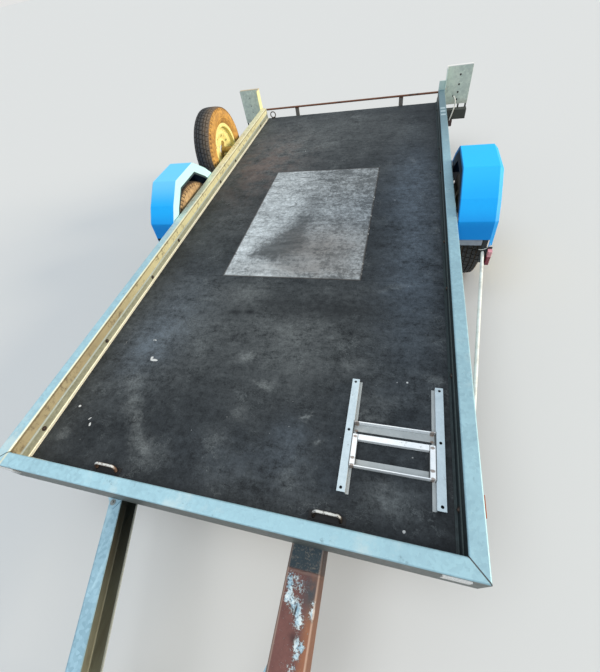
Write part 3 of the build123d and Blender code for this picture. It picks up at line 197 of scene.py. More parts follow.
PALE_ZINC = (0.43, 0.68, 0.76)
MID_ZINC = (0.28, 0.45, 0.52)
DARK_ZINC = (0.13, 0.20, 0.23)
WHITE_RUST = (0.52, 0.66, 0.68)
SUNLIT_ZINC = (0.93, 0.91, 0.56)
WARM_TOP = (0.80, 0.74, 0.45)
SUNLIT_TAN = (0.55, 0.50, 0.32)
SUNLIT_STAIN = (0.24, 0.18, 0.11)
OLIVE_ZINC = (0.20, 0.21, 0.16)
SHADED_ZINC = (0.018, 0.027, 0.029)
FRONT_FACE_SHADE = (0.075, 0.070, 0.055)
PALE_EDGE = (0.82, 0.79, 0.66)

# distance from the front edge: painted patches of sunlight across the right rail near its rear end
SUNLIT_PATCHES = (2.62, 2.68, 2.735)
SUNLIT_PATCH_IN = 0.024

rail_zinc = Shade.begin("rail_zinc")
x, y, z = place()
cells = spangle(110)
mottle = cloud(9, 5, 0.65)
streak = cloud(14, 3, 0.6, (1, 0.12, 1))
tone = (cells * 0.35 + mottle * 0.9 - 0.12).blend(MID_ZINC, PALE_ZINC)
tone = cloud(3.5, 6, 0.7).step(0.52, 0.66).blend(tone, WHITE_RUST)
tone = (cloud(30, 4, 0.7).step(0.62, 0.74) * 0.6).blend(tone, DARK_ZINC)
drop = rail_top - z
back = y - bed_front
inner = (half_bed - RAIL_FLANGE + KEEN - x.size()).past(KEEN)
inner = inner * (back - RAIL_FLANGE + KEEN).past(KEEN)
left = (-x).step(0.60, 0.65)
tone = (x.step(-0.5, 0.5) * 0.24).blend(tone, DARK_ZINC)
top = left * drop.step(0.005, 0.001)
tone = (top * back.step(0.9, 2.3) * 0.92).blend(tone, WARM_TOP)
soiled = cloud(38, 7, 0.8).step(0.50, 0.64) * back.step(0.7, 1.8) * top
tone = (soiled * 0.6).blend(tone, (0.26, 0.19, 0.09))
# painted shade over the right rail's rear part, darker towards the back
tone = ((1 - left) * back.step(1.8, 2.8) * 0.85).blend(tone, DARK_ZINC)
# painted patches of sunlight on the right rail's top
for run in SUNLIT_PATCHES:
    sunlit_patch = (back - run).size().step(0.018, 0.006)
    sunlit_patch = sunlit_patch * (half_bed - SUNLIT_PATCH_IN - x).size().step(0.018, 0.013)
    tone = (sunlit_patch * 0.6).blend(tone, (0.62, 0.76, 0.80))
# the left inner wall: painted warm low sunlight, with streaks, dust and wood stains in it
sunlit_wall = (streak * 1.3 + mottle * 0.6 - 0.45).blend(SUNLIT_STAIN, SUNLIT_TAN)
sunlit_wall = (back.step(0.35, 1.5) * 0.75).blend(sunlit_wall, SUNLIT_ZINC)
dirt = cloud(34, 7, 0.8).step(0.48, 0.64) * cloud(6, 3, 0.6).step(0.40, 0.56)
sunlit_wall = (dirt * 0.75).blend(sunlit_wall, (0.13, 0.10, 0.07))
olive = streak * 0.9 + cells * 0.25 - 0.3 + back.step(0.3, 1.2) * 0.25
olive = olive.blend(OLIVE_ZINC, (0.46, 0.49, 0.38))
olive = (drop - LIP_DROP).step(0.0, 0.006).blend(olive, PALE_EDGE)
wall = (drop - STEP_DROP).step(-0.003, 0.002).blend(sunlit_wall, olive)
from_step = (drop - STEP_DROP + 0.001).size()
wall = (from_step.step(0.004, 0.001) * 0.8).blend(wall, (0.42, 0.50, 0.50))
shaded = (cells * 0.5 + mottle * 0.5).blend(SHADED_ZINC, (0.042, 0.062, 0.066))
shaded = (from_step.step(0.0028, 0.0008) * 0.7).blend(shaded, (0.13, 0.17, 0.16))
wall = left.blend(shaded, wall)
tone = (inner * drop.step(0.001, 0.006)).blend(tone, wall)
# painted highlight along the left rail's inner bend
bend_highlight = (x.size() - half_bed + RAIL_FLANGE).size().step(0.006, 0.002) * drop.step(0.006, 0.0)
tone = (bend_highlight * left * 0.7).blend(tone, (0.78, 0.74, 0.54))
# painted shade in the crease under the left rail's top flange
crease_shade = (half_bed - RAIL_FLANGE + 0.0003 - x.size()).step(0.0, 0.0004)
crease_shade = crease_shade * (drop - CREASE_DROP).size().step(0.004, 0.002)
tone = (crease_shade * left * 0.65).blend(tone, (0.10, 0.075, 0.045))
# painted shade on the front rail's front face
front_face = back.step(0.0006, 0.0002) * drop.step(0.001, 0.006)
tone = (front_face * 0.9).blend(tone, (mottle * 0.9).blend(FRONT_FACE_SHADE, (0.10, 0.10, 0.085)))
from_mitre = (half_bed - x.size() - back).size()
weld = from_mitre.step(0.0035, 0.0012)
tone = weld.blend(tone, (0.05, 0.055, 0.055))
rough = cells * 0.12 + mottle * 0.25 + 0.33
finished(rail_zinc, tone, rough, 0.35, cells * 0.3 + cloud(60, 3, 0.6) - weld * 0.8, 0.0006)
painted(rail_zinc, "side_rail_left", "side_rail_right", "front_rail")

# Rail bolts: round-headed steel bolts through the rails' inner walls, which hold the lip over the
# edges of the deck's sheets. Their zinc is gone, and they are dark and rusty.
BOLT_DROP = 0.060
# distance from the front edge
BOLT_RUNS = (0.154, 0.563, 0.979, 1.288, 1.944, 2.250, 2.882)
dark_steel = Shade.begin("dark_steel")
rust_mask = cloud(120, 4, 0.7).step(0.4, 0.65)
tone = rust_mask.blend((0.030, 0.028, 0.026), (0.070, 0.040, 0.026))
finished(dark_steel, tone, 0.55, 0.4, cloud(300, 3, 0.6), 0.0003)


def lone(piece):
    """Makes this the only selected piece, in object mode."""
    bpy.ops.object.select_all(action="DESELECT")
    bpy.context.view_layer.objects.active = piece
    piece.select_set(True)
    return piece


def smooth(piece, degrees=35):
    """Shades the piece smooth, apart from edges sharper than this."""
    lone(piece)
    bpy.ops.object.shade_smooth_by_angle(angle=math.radians(degrees))
    return piece


def pick(piece, kind, test):
    """Selects the edges or faces that pass the test, and enters edit mode."""
    lone(piece)
    bpy.ops.object.mode_set(mode="EDIT")
    bpy.ops.mesh.select_mode(type="EDGE" if kind == "edges" else "FACE")
    bpy.ops.mesh.select_all(action="DESELECT")
    bpy.ops.object.mode_set(mode="OBJECT")
    mesh = piece.data
    for item in getattr(mesh, kind):
        item.select = test(mesh, item)
    bpy.ops.object.mode_set(mode="EDIT")


def round_edges(piece, width, test, segments=3):
    """Rounds the edges whose middle and direction pass the test."""

    def chosen(mesh, edge):
        start, end = (mesh.vertices[index].co for index in edge.vertices)
        return test((start + end) / 2, (end - start).normalized())

    pick(piece, "edges", chosen)
    bpy.ops.mesh.bevel(offset=width, segments=segments, affect="EDGES", clamp_overlap=False)
    bpy.ops.object.mode_set(mode="OBJECT")
    return piece


def dressed(piece, material, body, slot, *nodes):
    """Gives a finished piece its material, its body and the solids it stands for; the slot is not
    used.
    """
    piece.data.materials.clear()
    piece.data.materials.append(material)
    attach(piece, body)
    if nodes:
        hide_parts(*nodes)
    return piece


def aimed(place_at, axis):
    """Matrix that puts a piece modelled up the Z axis at a place, aimed along an axis."""
    turn = Vector((0, 0, 1)).rotation_difference(Vector(axis)).to_matrix().to_4x4()
    return Matrix.Translation(place_at) @ turn


def added(name, data):
    """A new object in the scene."""
    made = bpy.data.objects.new(name, data)
    bpy.context.scene.collection.objects.link(made)
    return made


def fused(piece, *others):
    """One object of several."""
    lone(piece)
    for other in others:
        other.select_set(True)
    bpy.ops.object.join()
    return piece


def repeated(pattern, name, matrices):
    """One mesh made of copies of a modelled piece, which is then removed."""
    copies = []
    for matrix in matrices:
        one = added(name, pattern.data.copy())
        one.data.transform(matrix)
        copies.append(one)
    bpy.data.objects.remove(pattern)
    return fused(*copies)


def disc(radius, bottom, top, vertices=24):
    """Upright cylinder on the Z axis between two heights."""
    middle = (bottom + top) / 2
    bpy.ops.mesh.primitive_cylinder_add(
        vertices=vertices, radius=radius, depth=top - bottom, location=(0, 0, middle)
    )
    made = bpy.context.object
    bpy.ops.object.transform_apply()
    return made


def round_bolt(radius, height):
    """Domed bolt head on a thin washer, standing up from the origin."""
    head = disc(radius, 0, height, 20)
    top = height * 0.9
    round_edges(head, height * 0.6, lambda middle, way: middle.z > top and abs(way.z) < 0.1)
    washer = disc(radius * 1.5, 0, height * 0.3)
    return smooth(fused(head, washer))


wall_x = half_bed - RAIL_FLANGE - STEP_IN
places = [
    aimed((side * wall_x, bed_front + run, rail_top - BOLT_DROP), (-side, 0, 0))
    for side in (-1, 1)
    for run in BOLT_RUNS
]
rail_bolts = repeated(round_bolt(radius=0.006, height=0.005), "rail_bolts", places)
dressed(rail_bolts, dark_steel, "chassis", "rust")

# Deck: four sheets of dark phenolic-faced plywood round a worn grey sheet. Boots and tyres have
# left dust, pale scuffs and chips, and the middle of the grey sheet is stained. A painted sheen of
# the sky lies over the dust, and a painted warm glow from the left rail near the rear.
plate_low, plate_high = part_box("deck_plate")
deck_top = plate_high.z


def oval(x, y, at, spread, turn=0.0):
    """Squared distance from a place on the deck, 1 on the oval's rim; half sizes, degrees."""
    run, aside = math.cos(math.radians(turn)), math.sin(math.radians(turn))
    across = x - at[0]
    back = y - (bed_front + at[1])
    first = (across * run + back * aside) / spread[0]
    second = (back * run - across * aside) / spread[1]
    return first * first + second * second


def patch(x, y, at, spread, turn=0.0):
    """A mark with a soft edge."""
    return oval(x, y, at, spread, turn).step(1.0, 0.15)


def haze(x, y, at, spread, turn=0.0):
    """A mark without an edge, which thins out from its middle."""
    return (-oval(x, y, at, spread, turn)).math("EXPONENT")


def marks(x, y, table, shape=haze):
    """A mask for each row of a table of marks."""
    return [
        shape(x, y, (across, back), (wide, deep), turn) * strength
        for across, back, wide, deep, turn, strength in table
    ]


def strongest(masks):
    """The greatest of several masks at each point."""
    mask = masks[0]
    for other in masks[1:]:
        mask = mask.over(other)
    return mask


# x, distance from the front edge, half sizes, turn, strength: dust that boots have worn in, with a
# painted sheen of the sky in the broad rows
DUST_AND_PAINTED_SHEEN = (
    (0.05, 0.70, 0.40, 0.26, 0, 0.26),
    (-0.42, 0.70, 0.24, 0.26, 0, 0.18),
    (-0.17, 0.91, 0.12, 0.07, 0, 0.30),
    (0.12, 0.72, 0.12, 0.06, 0, 0.20),
    (-0.18, 2.72, 0.70, 0.55, 0, 0.30),
    (-0.40, 2.25, 0.26, 0.40, -10, 0.28),
    (-0.45, 1.45, 0.16, 0.40, 0, 0.16),
    (-0.480, 0.400, 0.040, 0.035, 0, 0.40),
    (-0.420, 0.315, 0.030, 0.040, 30, 0.40),
    (-0.372, 0.245, 0.020, 0.035, 40, 0.55),
    (-0.320, 0.190, 0.028, 0.040, 40, 0.45),
    (-0.290, 0.152, 0.016, 0.020, 40, 0.50),
    (-0.242, 0.138, 0.060, 0.035, 0, 0.22),
    (-0.632, 0.156, 0.022, 0.016, 0, 0.45),
    (-0.037, 0.577, 0.040, 0.018, 20, 0.45),
    (0.067, 0.449, 0.034, 0.016, 0, 0.55),
    (0.013, 0.334, 0.030, 0.030, 0, 0.22),
    (-0.039, 0.224, 0.036, 0.030, 0, 0.20),
    (0.245, 0.358, 0.012, 0.010, 0, 0.60),
    (0.304, 0.281, 0.012, 0.012, 0, 0.45),
    (0.222, 0.149, 0.030, 0.030, 0, 0.20),
    (0.522, 0.150, 0.060, 0.045, -15, 0.42),
    (0.468, 0.392, 0.034, 0.018, 0, 0.35),
    (0.500, 0.440, 0.050, 0.034, 0, 0.22),
    (0.370, 0.574, 0.045, 0.024, 0, 0.25),
    (0.656, 0.553, 0.020, 0.022, 0, 0.35),
    (0.547, 2.148, 0.012, 0.040, 10, 0.50),
    (0.087, 2.946, 0.030, 0.024, 20, 0.45),
    (0.505, 1.000, 0.060, 0.010, 20, 0.30),
)
# the same columns: bluish painted sheen of the sky
PAINTED_SHEEN = (
    (-0.50, 0.58, 0.11, 0.15, 0, 0.42),
    (-0.46, 0.80, 0.16, 0.26, 0, 0.24),
    (0.21, 0.26, 0.06, 0.09, 0, 0.24),
    (0.57, 1.20, 0.12, 0.55, 0, 0.50),
    (0.55, 1.90, 0.14, 0.40, 0, 0.48),
    (0.10, 0.16, 0.30, 0.10, 0, 0.12),
)
# the same columns: bright chips and scratches
CHIPS = (
    (-0.437, 0.505, 0.028, 0.008, 0, 1.0),
    (-0.452, 0.514, 0.010, 0.012, 0, 0.9),
    (-0.488, 0.605, 0.016, 0.005, 0, 0.8),
    (-0.638, 0.265, 0.008, 0.007, 0, 1.0),
    (-0.560, 0.225, 0.010, 0.005, 50, 0.8),
    (-0.545, 0.204, 0.006, 0.012, 20, 1.0),
    (-0.372, 0.250, 0.008, 0.012, 0, 0.6),
    (-0.616, 0.590, 0.058, 0.0026, 74, 0.62),
    (-0.384, 0.704, 0.048, 0.0020, 62, 0.42),
    (-0.366, 0.710, 0.034, 0.0018, 62, 0.40),
    (0.118, 0.334, 0.040, 0.0020, -58, 0.36),
    (0.595, 0.440, 0.026, 0.0024, 70, 0.36),
    (0.532, 0.525, 0.005, 0.004, 0, 0.8),
    (0.564, 0.530, 0.005, 0.005, 0, 0.9),
    (0.587, 0.276, 0.004, 0.004, 0, 0.7),
    (0.570, 0.079, 0.006, 0.006, 0, 1.0),
    (0.338, 1.000, 0.008, 0.006, 0, 0.5),
    (0.463, 1.690, 0.016, 0.004, 0, 0.7),
    (0.474, 1.470, 0.004, 0.010, 0, 0.6),
    (-0.410, 1.985, 0.050, 0.0026, -50, 0.62),
    (0.460, 1.010, 0.050, 0.0022, 25, 0.34),
    (-0.200, 2.380, 0.007, 0.006, 0, 0.7),
    (-0.620, 2.560, 0.008, 0.008, 0, 0.7),
)
phenolic = Shade.begin("phenolic_plywood")
x, y, z = place()
weave = cloud(9, 8, 0.72)
brushed = cloud(16, 8, 0.74, (0.4, 1.8, 1))
fine = cloud(240, 3, 0.6)
grit = cloud(48, 6, 0.8)
rubbed = (brushed - 0.5) * 1.3 + (weave - 0.5) * 1.1 + (grit - 0.5) * 2.2 + (fine - 0.5) * 0.9
rubbed = (rubbed + 0.62).over(0.08)
# the marks' edges wander
astray = x + (cloud(17, 6, 0.75) - 0.5) * 0.13
along = y + (cloud(13, 6, 0.75) - 0.5) * 0.13
dust_and_painted_light = cloud(2.6, 7, 0.68).step(0.42, 0.80) * 0.2 + sum(marks(astray, along, DUST_AND_PAINTED_SHEEN))
painted_sheen = sum(marks(astray, along, PAINTED_SHEEN))
tone = (rubbed * 0.9 - 0.1).blend((0.006, 0.008, 0.010), (0.032, 0.038, 0.043))
# dust, with a painted sheen of the sky in the broad patches
tone = (dust_and_painted_light * rubbed).blend(tone, (0.24, 0.26, 0.26))
# painted bluish sheen of the sky
tone = (painted_sheen * rubbed).blend(tone, (0.15, 0.19, 0.235))
scuffs = (weave - 0.5).size().step(0.010, 0.001) * cloud(5, 4, 0.7).step(0.50, 0.62)
swept = (brushed - 0.46).size().step(0.008, 0.001) * cloud(4, 4, 0.7).step(0.52, 0.66)
scuffs = scuffs.over(swept)
tone = (scuffs * 0.38).blend(tone, (0.20, 0.225, 0.23))
drops = haze(x, y, (-0.177, 0.796), (0.035, 0.018)) + haze(x, y, (-0.107, 0.802), (0.026, 0.014))
blot = (haze(astray, along, (0.17, 0.84), (0.30, 0.07)) + drops) * weave.step(0.30, 0.55)
tone = (blot * 0.75).blend(tone, (0.010, 0.012, 0.014))
# painted warm glow of light reflected from the left rail onto the deck
rail_glow = haze(astray, along, (-0.46, 2.20), (0.24, 0.40)) * weave.step(0.38, 0.60)
tone = (rail_glow * 0.35).blend(tone, (0.17, 0.095, 0.07))
chips = strongest(marks(x, y, CHIPS, patch))
ragged = (chips * 1.15 - cloud(190, 4, 0.8) * 1.5).step(0.0, 0.22)
tone = ragged.blend(tone, (0.56, 0.57, 0.56))
specks = cloud(120, 1, 0.3).step(0.78, 0.82) * weave.step(0.46, 0.60)
tone = (specks * 0.6).blend(tone, (0.36, 0.38, 0.38))
rough = 0.50 + dust_and_painted_light * 0.25 + brushed * 0.12
relief = brushed * 0.6 + fine * 0.25 + ragged * 0.4
finished(phenolic, tone, rough, 0.0, relief, 0.0006, Specular_IOR_Level=0.2)
painted(phenolic, "deck_front", "deck_rear", "deck_strip_left", "deck_strip_right")

# the same columns: dark marks left on the grey sheet by a wet load
STAINS = (
    (-0.115, 1.240, 0.11, 0.08, 0, 0.85),
    (-0.050, 1.340, 0.10, 0.11, 0, 0.80),
    (-0.020, 1.480, 0.08, 0.12, 0, 0.70),
    (0.000, 1.700, 0.09, 0.14, 0, 0.50),
    (0.010, 1.920, 0.08, 0.10, 0, 0.32),
    (-0.200, 1.215, 0.06, 0.04, 0, 0.40),
    (0.060, 1.230, 0.16, 0.09, 0, 0.35),
    (-0.040, 1.120, 0.16, 0.07, 0, 0.34),
    (0.020, 2.020, 0.26, 0.05, 0, 0.28),
    (0.235, 1.960, 0.028, 0.022, 0, 0.65),
    (0.285, 1.955, 0.030, 0.026, 0, 0.65),
    (0.230, 1.520, 0.12, 0.42, 0, 0.30),
    (-0.255, 1.790, 0.020, 0.030, 0, 0.50),
    (-0.240, 1.500, 0.060, 0.012, -10, 0.45),
)
# the same columns: brown rust water on it
BROWN = ((0.14, 1.27, 0.19, 0.17, 0, 0.9), (0.05, 1.09, 0.32, 0.05, 0, 0.6))
worn_sheet = Shade.begin("worn_sheet")
x, y, z = place()
back = y - bed_front
weave = cloud(8, 9, 0.78)
rub = cloud(18, 8, 0.75, (0.45, 1.9, 1))
pits = cloud(60, 5, 0.75)
astray = x + (cloud(11, 7, 0.78) - 0.5) * 0.26
along = y + (cloud(9, 7, 0.78) - 0.5) * 0.26
contrast = (weave - 0.5) * 1.5 + (rub - 0.5) * 1.1 + (pits - 0.5) * 1.7
light = contrast + 0.53 - (x + 0.14).step(0.0, 0.30) * 0.29 - back.step(1.4, 2.0) * 0.15
tone = light.over(0.0).blend((0.09, 0.10, 0.105), (0.66, 0.72, 0.75))
stain = sum(marks(astray, along, STAINS))
soaked = stain * stain * (1 - contrast * 0.6).over(0.0) * 2.8
wet = 1 - (-soaked).math("EXPONENT")
damp = (rub * 2.2 - 0.6).blend((0.018, 0.023, 0.026), (0.075, 0.085, 0.090))
tone = (wet * 0.96).blend(tone, damp)
brown = sum(marks(astray, along, BROWN))
tone = (brown * (contrast * 0.8 + 0.48)).over(0.0).under(0.8).blend(tone, (0.165, 0.138, 0.118))
spots = cloud(42, 2, 0.5).step(0.60, 0.68) * back.step(1.35, 1.75) * (x + 0.25).step(0.0, 0.15)
tone = (spots * 0.6).blend(tone, (0.07, 0.078, 0.08))
cuts = (cloud(5, 1, 0.3, (0.3, 3.0, 1)) - 0.5).size().step(0.007, 0.002)
cuts = cuts * (0.02 - x).step(-0.05, 0.2)
tone = (cuts * weave.step(0.40, 0.56) * 0.75).blend(tone, (0.04, 0.045, 0.045))
edge = (x - plate_low.x).under(plate_high.x - x).under(y - plate_low.y).under(plate_high.y - y)
tone = ((edge - pits * 0.012).step(0.003, -0.003) * 0.85).blend(tone, (0.028, 0.022, 0.018))
flecks = cloud(75, 3, 0.6).step(0.60, 0.66) * (plate_high.x - x).step(0.012, 0.003)
tone = flecks.blend(tone, (0.55, 0.54, 0.50))
finished(worn_sheet, tone, 0.48 + rub * 0.25, 0.05, weave * 0.6 + pits * 0.5, 0.0008)
painted(worn_sheet, "deck_plate")

# Under the bed: folded channels from rail to rail, the square axle beam with its plates and the
# rear crossbeam. Their zinc is dull and dusty, and red rust comes through near the welds.
dull_zinc = Shade.begin("dull_zinc")
mottle = cloud(11, 6, 0.7)
tone = (spangle(90) * 0.4 + mottle * 0.8 - 0.2).blend((0.17, 0.19, 0.19), (0.36, 0.39, 0.38))
dirt = cloud(5, 6, 0.7).step(0.48, 0.68)
tone = (dirt * 0.6).blend(tone, (0.17, 0.145, 0.11))
blush = cloud(17, 5, 0.75).step(0.62, 0.72)
tone = (blush * 0.7).blend(tone, (0.24, 0.10, 0.045))
finished(dull_zinc, tone, 0.5 + mottle * 0.25, 0.25, mottle * 0.4 + cloud(90, 3, 0.6) * 0.4, 0.0006)
painted(dull_zinc, "cross_members", "axle_beam", "mudguard_brackets")

dark_beam = Shade.begin("dark_beam")
x, y, z = place()
grime = cloud(14, 7, 0.75)
tone = grime.blend((0.020, 0.024, 0.022), (0.075, 0.080, 0.066))
tone = cloud(30, 5, 0.75).step(0.60, 0.72).blend(tone, (0.14, 0.065, 0.035))
bare_zinc = grime.blend((0.40, 0.52, 0.48), (0.70, 0.86, 0.80))
tone = (z - rail_top + 0.03).step(0.0, 0.01).blend(tone, bare_zinc)
finished(dark_beam, tone, 0.65, 0.1, grime, 0.0006)
painted(dark_beam, "rear_crossbeam")

carrier_paint = Shade.begin("carrier_paint")
grime = cloud(40, 6, 0.75)
tone = grime.step(0.35, 0.65).blend((0.46, 0.33, 0.08), (0.24, 0.13, 0.04))
finished(carrier_paint, tone, 0.6, 0.05, grime, 0.0006)
painted(carrier_paint, "spare_carrier")

# Light boards: spangled sheet pans at the rear corners, weathered to a warm grey, with four fixing
# holes, a grommet for the lead, and returns that are bolted to the rails' ends.
BOARD_SHEET = 0.003
PAN_DEPTH = 0.014
FOLD_RADIUS = 0.0022
BOARD_BOLT_IN = 0.030
# heights over the rail's top
BOARD_BOLTS = (0.0025, -0.0350, -0.0675)
board_low, board_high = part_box("light_board_right")
board_zinc = Shade.begin("board_zinc")
x, y, z = place()
cells = spangle(70)
mottle = cloud(8, 6, 0.7)
runs = cloud(9, 4, 0.6, (1, 1, 0.2))
tone = (cells * 0.45 + mottle * 0.7 - 0.15).blend((0.38, 0.45, 0.41), (0.70, 0.78, 0.68))
tone = (runs.step(0.5, 0.75) * 0.4).blend(tone, (0.74, 0.74, 0.63))
foot = (board_low.z + 0.05 - z).step(0, 0.05) * mottle.step(0.35, 0.6)
tone = (foot * 0.35).blend(tone, (0.36, 0.30, 0.22))
fold = (half_bed + BOARD_SHEET + 0.0004 - x.size()).past(0.0004)
left = (-x).past(0.01)
# painted warm sunlight on the left board's return
tone = (fold * left * 0.9).blend(tone, (0.88, 0.84, 0.42))
tone = (fold * (1 - left) * 0.8).blend(tone, (0.78, 0.92, 0.84))
# painted highlight along the boards' top folds, white on the right and warm on the left
lip_highlight = (z - board_high.z + 0.0055).step(0, 0.002)
tone = (lip_highlight * 0.9).blend(tone, left.blend((0.92, 0.88, 0.84), (0.62, 0.50, 0.34)))
finished(board_zinc, tone, 0.42 + mottle * 0.25, 0.2, cells * 0.3 + mottle * 0.4, 0.0005)


def opened(piece):
    """Enters edit mode with all of the piece selected."""
    lone(piece)
    bpy.ops.object.mode_set(mode="EDIT")
    bpy.ops.mesh.select_all(action="SELECT")


def copied(node, name):
    """Working copy of a solid of the frame, its triangles merged into plain faces."""
    piece = added(name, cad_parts[node].data.copy())
    piece.data.materials.clear()
    opened(piece)
    bpy.ops.mesh.customdata_custom_splitnormals_clear()
    bpy.ops.mesh.remove_doubles(threshold=0.00001)
    bpy.ops.mesh.dissolve_limited(angle_limit=math.radians(1))
    bpy.ops.object.mode_set(mode="OBJECT")
    return piece


board_back = board_high.y - PAN_DEPTH
board_front = board_back - BOARD_SHEET


def board_fold(middle, way):
    """The folds at the top and at the outer side, on the sheet's front."""
    top = abs(middle.z - board_high.z) < 0.0002 and abs(way.x) > 0.99
    side = abs(abs(middle.x) - board_high.x) < 0.0002 and abs(way.z) > 0.99
    return (top or side) and abs(middle.y - board_front) < 0.0002


for node in ("light_board_left", "light_board_right"):
    board = copied(node, node + "_pan")
    round_edges(board, FOLD_RADIUS, board_fold)
    dressed(smooth(board), board_zinc, "chassis", "galvanised", node)

zinc_bolt = Shade.begin("zinc_bolt")
grime = cloud(60, 4, 0.7)
tone = (grime * 0.8).blend((0.50, 0.50, 0.47), (0.24, 0.20, 0.15))
finished(zinc_bolt, tone, 0.38 + grime * 0.25, 0.6, cloud(200, 3, 0.6), 0.0002)


def hex_bolt(across, height, washer=1.0):
    """Hexagon head with a chamfered crown, on a washer, standing up from the origin."""
    flat = disc(across * washer, 0, height * 0.25)
    head = disc(across * 0.58, height * 0.15, height * 1.15, 6)
    crown = height * 1.14
    round_edges(head, height * 0.16, lambda middle, way: middle.z > crown and abs(way.z) < 0.1, 1)
    return smooth(fused(head, flat), 25)


bolt_y = board_low.y + BOARD_BOLT_IN
places = [
    aimed((side * (half_bed + BOARD_SHEET), bolt_y, rail_top + rise), (side, 0, 0))
    for side in (-1, 1)
    for rise in BOARD_BOLTS
]
board_bolts = repeated(hex_bolt(across=0.013, height=0.006), "board_bolts", places)
dressed(board_bolts, zinc_bolt, "chassis", "zinc")

# the lamps' black studs, which fill the holes from behind, and the right board's rubber grommets
HOLE_FROM_RAIL = 0.100
HOLE_HEIGHTS = (0.074, 0.013, -0.036, -0.084)
HOLE_SINK = 0.001
LEAD_HOLE_IN = 0.028
STUD_RADIUS, STUD_LENGTH = 0.0039, 0.005
COLLAR_RADIUS, COLLAR_BOTTOM, COLLAR_TOP = 0.0066, -0.0038, -0.0020


def in_board(side, from_rail, height):
    """Matrix of a piece in a light board's hole, aimed backwards."""
    return aimed((side * (half_bed + from_rail), board_back - HOLE_SINK, height), (0, 1, 0))


left_holes = [in_board(-1, HOLE_FROM_RAIL, rail_top + rise) for rise in HOLE_HEIGHTS]
right_holes = [in_board(1, HOLE_FROM_RAIL, rail_top + rise) for rise in HOLE_HEIGHTS]
lead_hole = in_board(1, HOLE_FROM_RAIL - LEAD_HOLE_IN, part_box("lamp_lead")[1].z - 0.003)
stud = disc(STUD_RADIUS, 0, STUD_LENGTH, 20)
stud_end = STUD_LENGTH - 0.0001
round_edges(stud, 0.0006, lambda middle, way: middle.z > stud_end and abs(way.z) < 0.1, 1)
board_studs = repeated(smooth(stud), "board_studs", left_holes + right_holes)
collar = disc(COLLAR_RADIUS, COLLAR_BOTTOM, COLLAR_TOP)
collar_end = COLLAR_BOTTOM + 0.0002
round_edges(collar, 0.0005, lambda middle, way: middle.z < collar_end and abs(way.z) < 0.1, 1)
fused(board_studs, repeated(smooth(collar), "board_grommets", right_holes + [lead_hole]))
stud_black = Shade.begin("stud_black")
tone = cloud(300, 3, 0.6).blend((0.006, 0.006, 0.007), (0.022, 0.018, 0.015))
finished(stud_black, tone, 0.6, 0.0, cloud(500, 3, 0.6), 0.0002)
dressed(board_studs, stud_black, "chassis", "black_plastic")

# Tail lamps: moulded plastic lenses with fine prisms inside, on dark bases on the backs of the
# light boards. Each has three fields: clear next to the rail, then red, then amber.
LAMP_WIDTH = 0.150
BASE_DEPTH = 0.0165
# shares of the lamp's width, from the rail
RED_FROM, AMBER_FROM = 0.30, 0.65
lamp_low, lamp_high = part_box("tail_lamps")
lamp_lens = Shade.begin("lamp_lens")
x, y, z = place()
across = (x.size() - (lamp_high.x - LAMP_WIDTH)) / LAMP_WIDTH
tone = (across - AMBER_FROM).past(0.005).blend((0.55, 0.012, 0.01), (0.85, 0.24, 0.02))
tone = (RED_FROM - across).past(0.005).blend(tone, (0.62, 0.60, 0.58))
base = (lamp_low.y + BASE_DEPTH - y).past(0.0005)
tone = base.blend(tone, (0.02, 0.02, 0.022))
prisms = (z * 1500).math("SINE") * (1 - base)
gaps = (across - AMBER_FROM).size().under((across - RED_FROM).size()).step(0.012, 0.004)
tone = (gaps * (1 - base)).blend(tone, (0.03, 0.01, 0.01))
finished(lamp_lens, tone, base * 0.3 + 0.12, 0.0, prisms * 0.5 - gaps, 0.0006, Coat_Weight=0.3)
painted(lamp_lens, "tail_lamps")

# Stop bar: a round steel bar between the light boards, rusty all over. It stands on two flat posts
# that are welded to the crossbeam and have kept some of their zinc.
POST_DROP = 0.032
rusty_bar = Shade.begin("rusty_bar")
x, y, z = place()
scale = cloud(55, 6, 0.75)
tone = scale.blend((0.10, 0.042, 0.026), (0.30, 0.13, 0.075))
tone = cloud(20, 4, 0.6).step(0.56, 0.70).blend(tone, (0.055, 0.032, 0.028))
post = (z - rail_top + POST_DROP).step(0.004, -0.004)
tone = (post * 0.85).blend(tone, scale.blend((0.13, 0.14, 0.13), (0.27, 0.27, 0.25)))
finished(rusty_bar, tone, 0.8 + scale * 0.15, 0.1, scale, 0.0012)
painted(rusty_bar, "rear_stop_bar")

# Running gear: rubber-sprung trailing arms in worn black paint at the axle beam's ends, with
# zinc-plated hubs and grease caps. Four steel nuts hold each wheel to its hub.
worn_black = Shade.begin("worn_black")
wear = cloud(34, 6, 0.75)
tone = wear.step(0.40, 0.75).blend((0.022, 0.022, 0.024), (0.12, 0.085, 0.06))
finished(worn_black, tone, 0.45 + wear * 0.35, 0.0, wear + cloud(160, 3, 0.6) * 0.4, 0.0005)
painted(worn_black, "swing_arm_left", "swing_arm_right")

hub_zinc = Shade.begin("hub_zinc")
grime = cloud(45, 5, 0.7)
tone = (grime * 1.3 - 0.3).blend((0.42, 0.41, 0.38), (0.17, 0.13, 0.09))
finished(hub_zinc, tone, 0.35 + grime * 0.3, 0.55, grime, 0.0004)
painted(hub_zinc, "hub_left", "hub_right")


def wheel_nut():
    """Hexagon wheel nut with a domed end and a seat cone."""
    nut = disc(radius=0.0105, bottom=0.003, top=0.019, vertices=6)
    round_edges(nut, 0.0025, lambda middle, way: abs(way.z) < 0.1 and middle.z > 0.018, 2)
    bpy.ops.mesh.primitive_cone_add(
        vertices=24, radius1=0.0075, radius2=0.0102, depth=0.004, location=(0, 0, 0.002)
    )
    seat = bpy.context.object
    bpy.ops.object.transform_apply()
    return smooth(fused(nut, seat), 25)


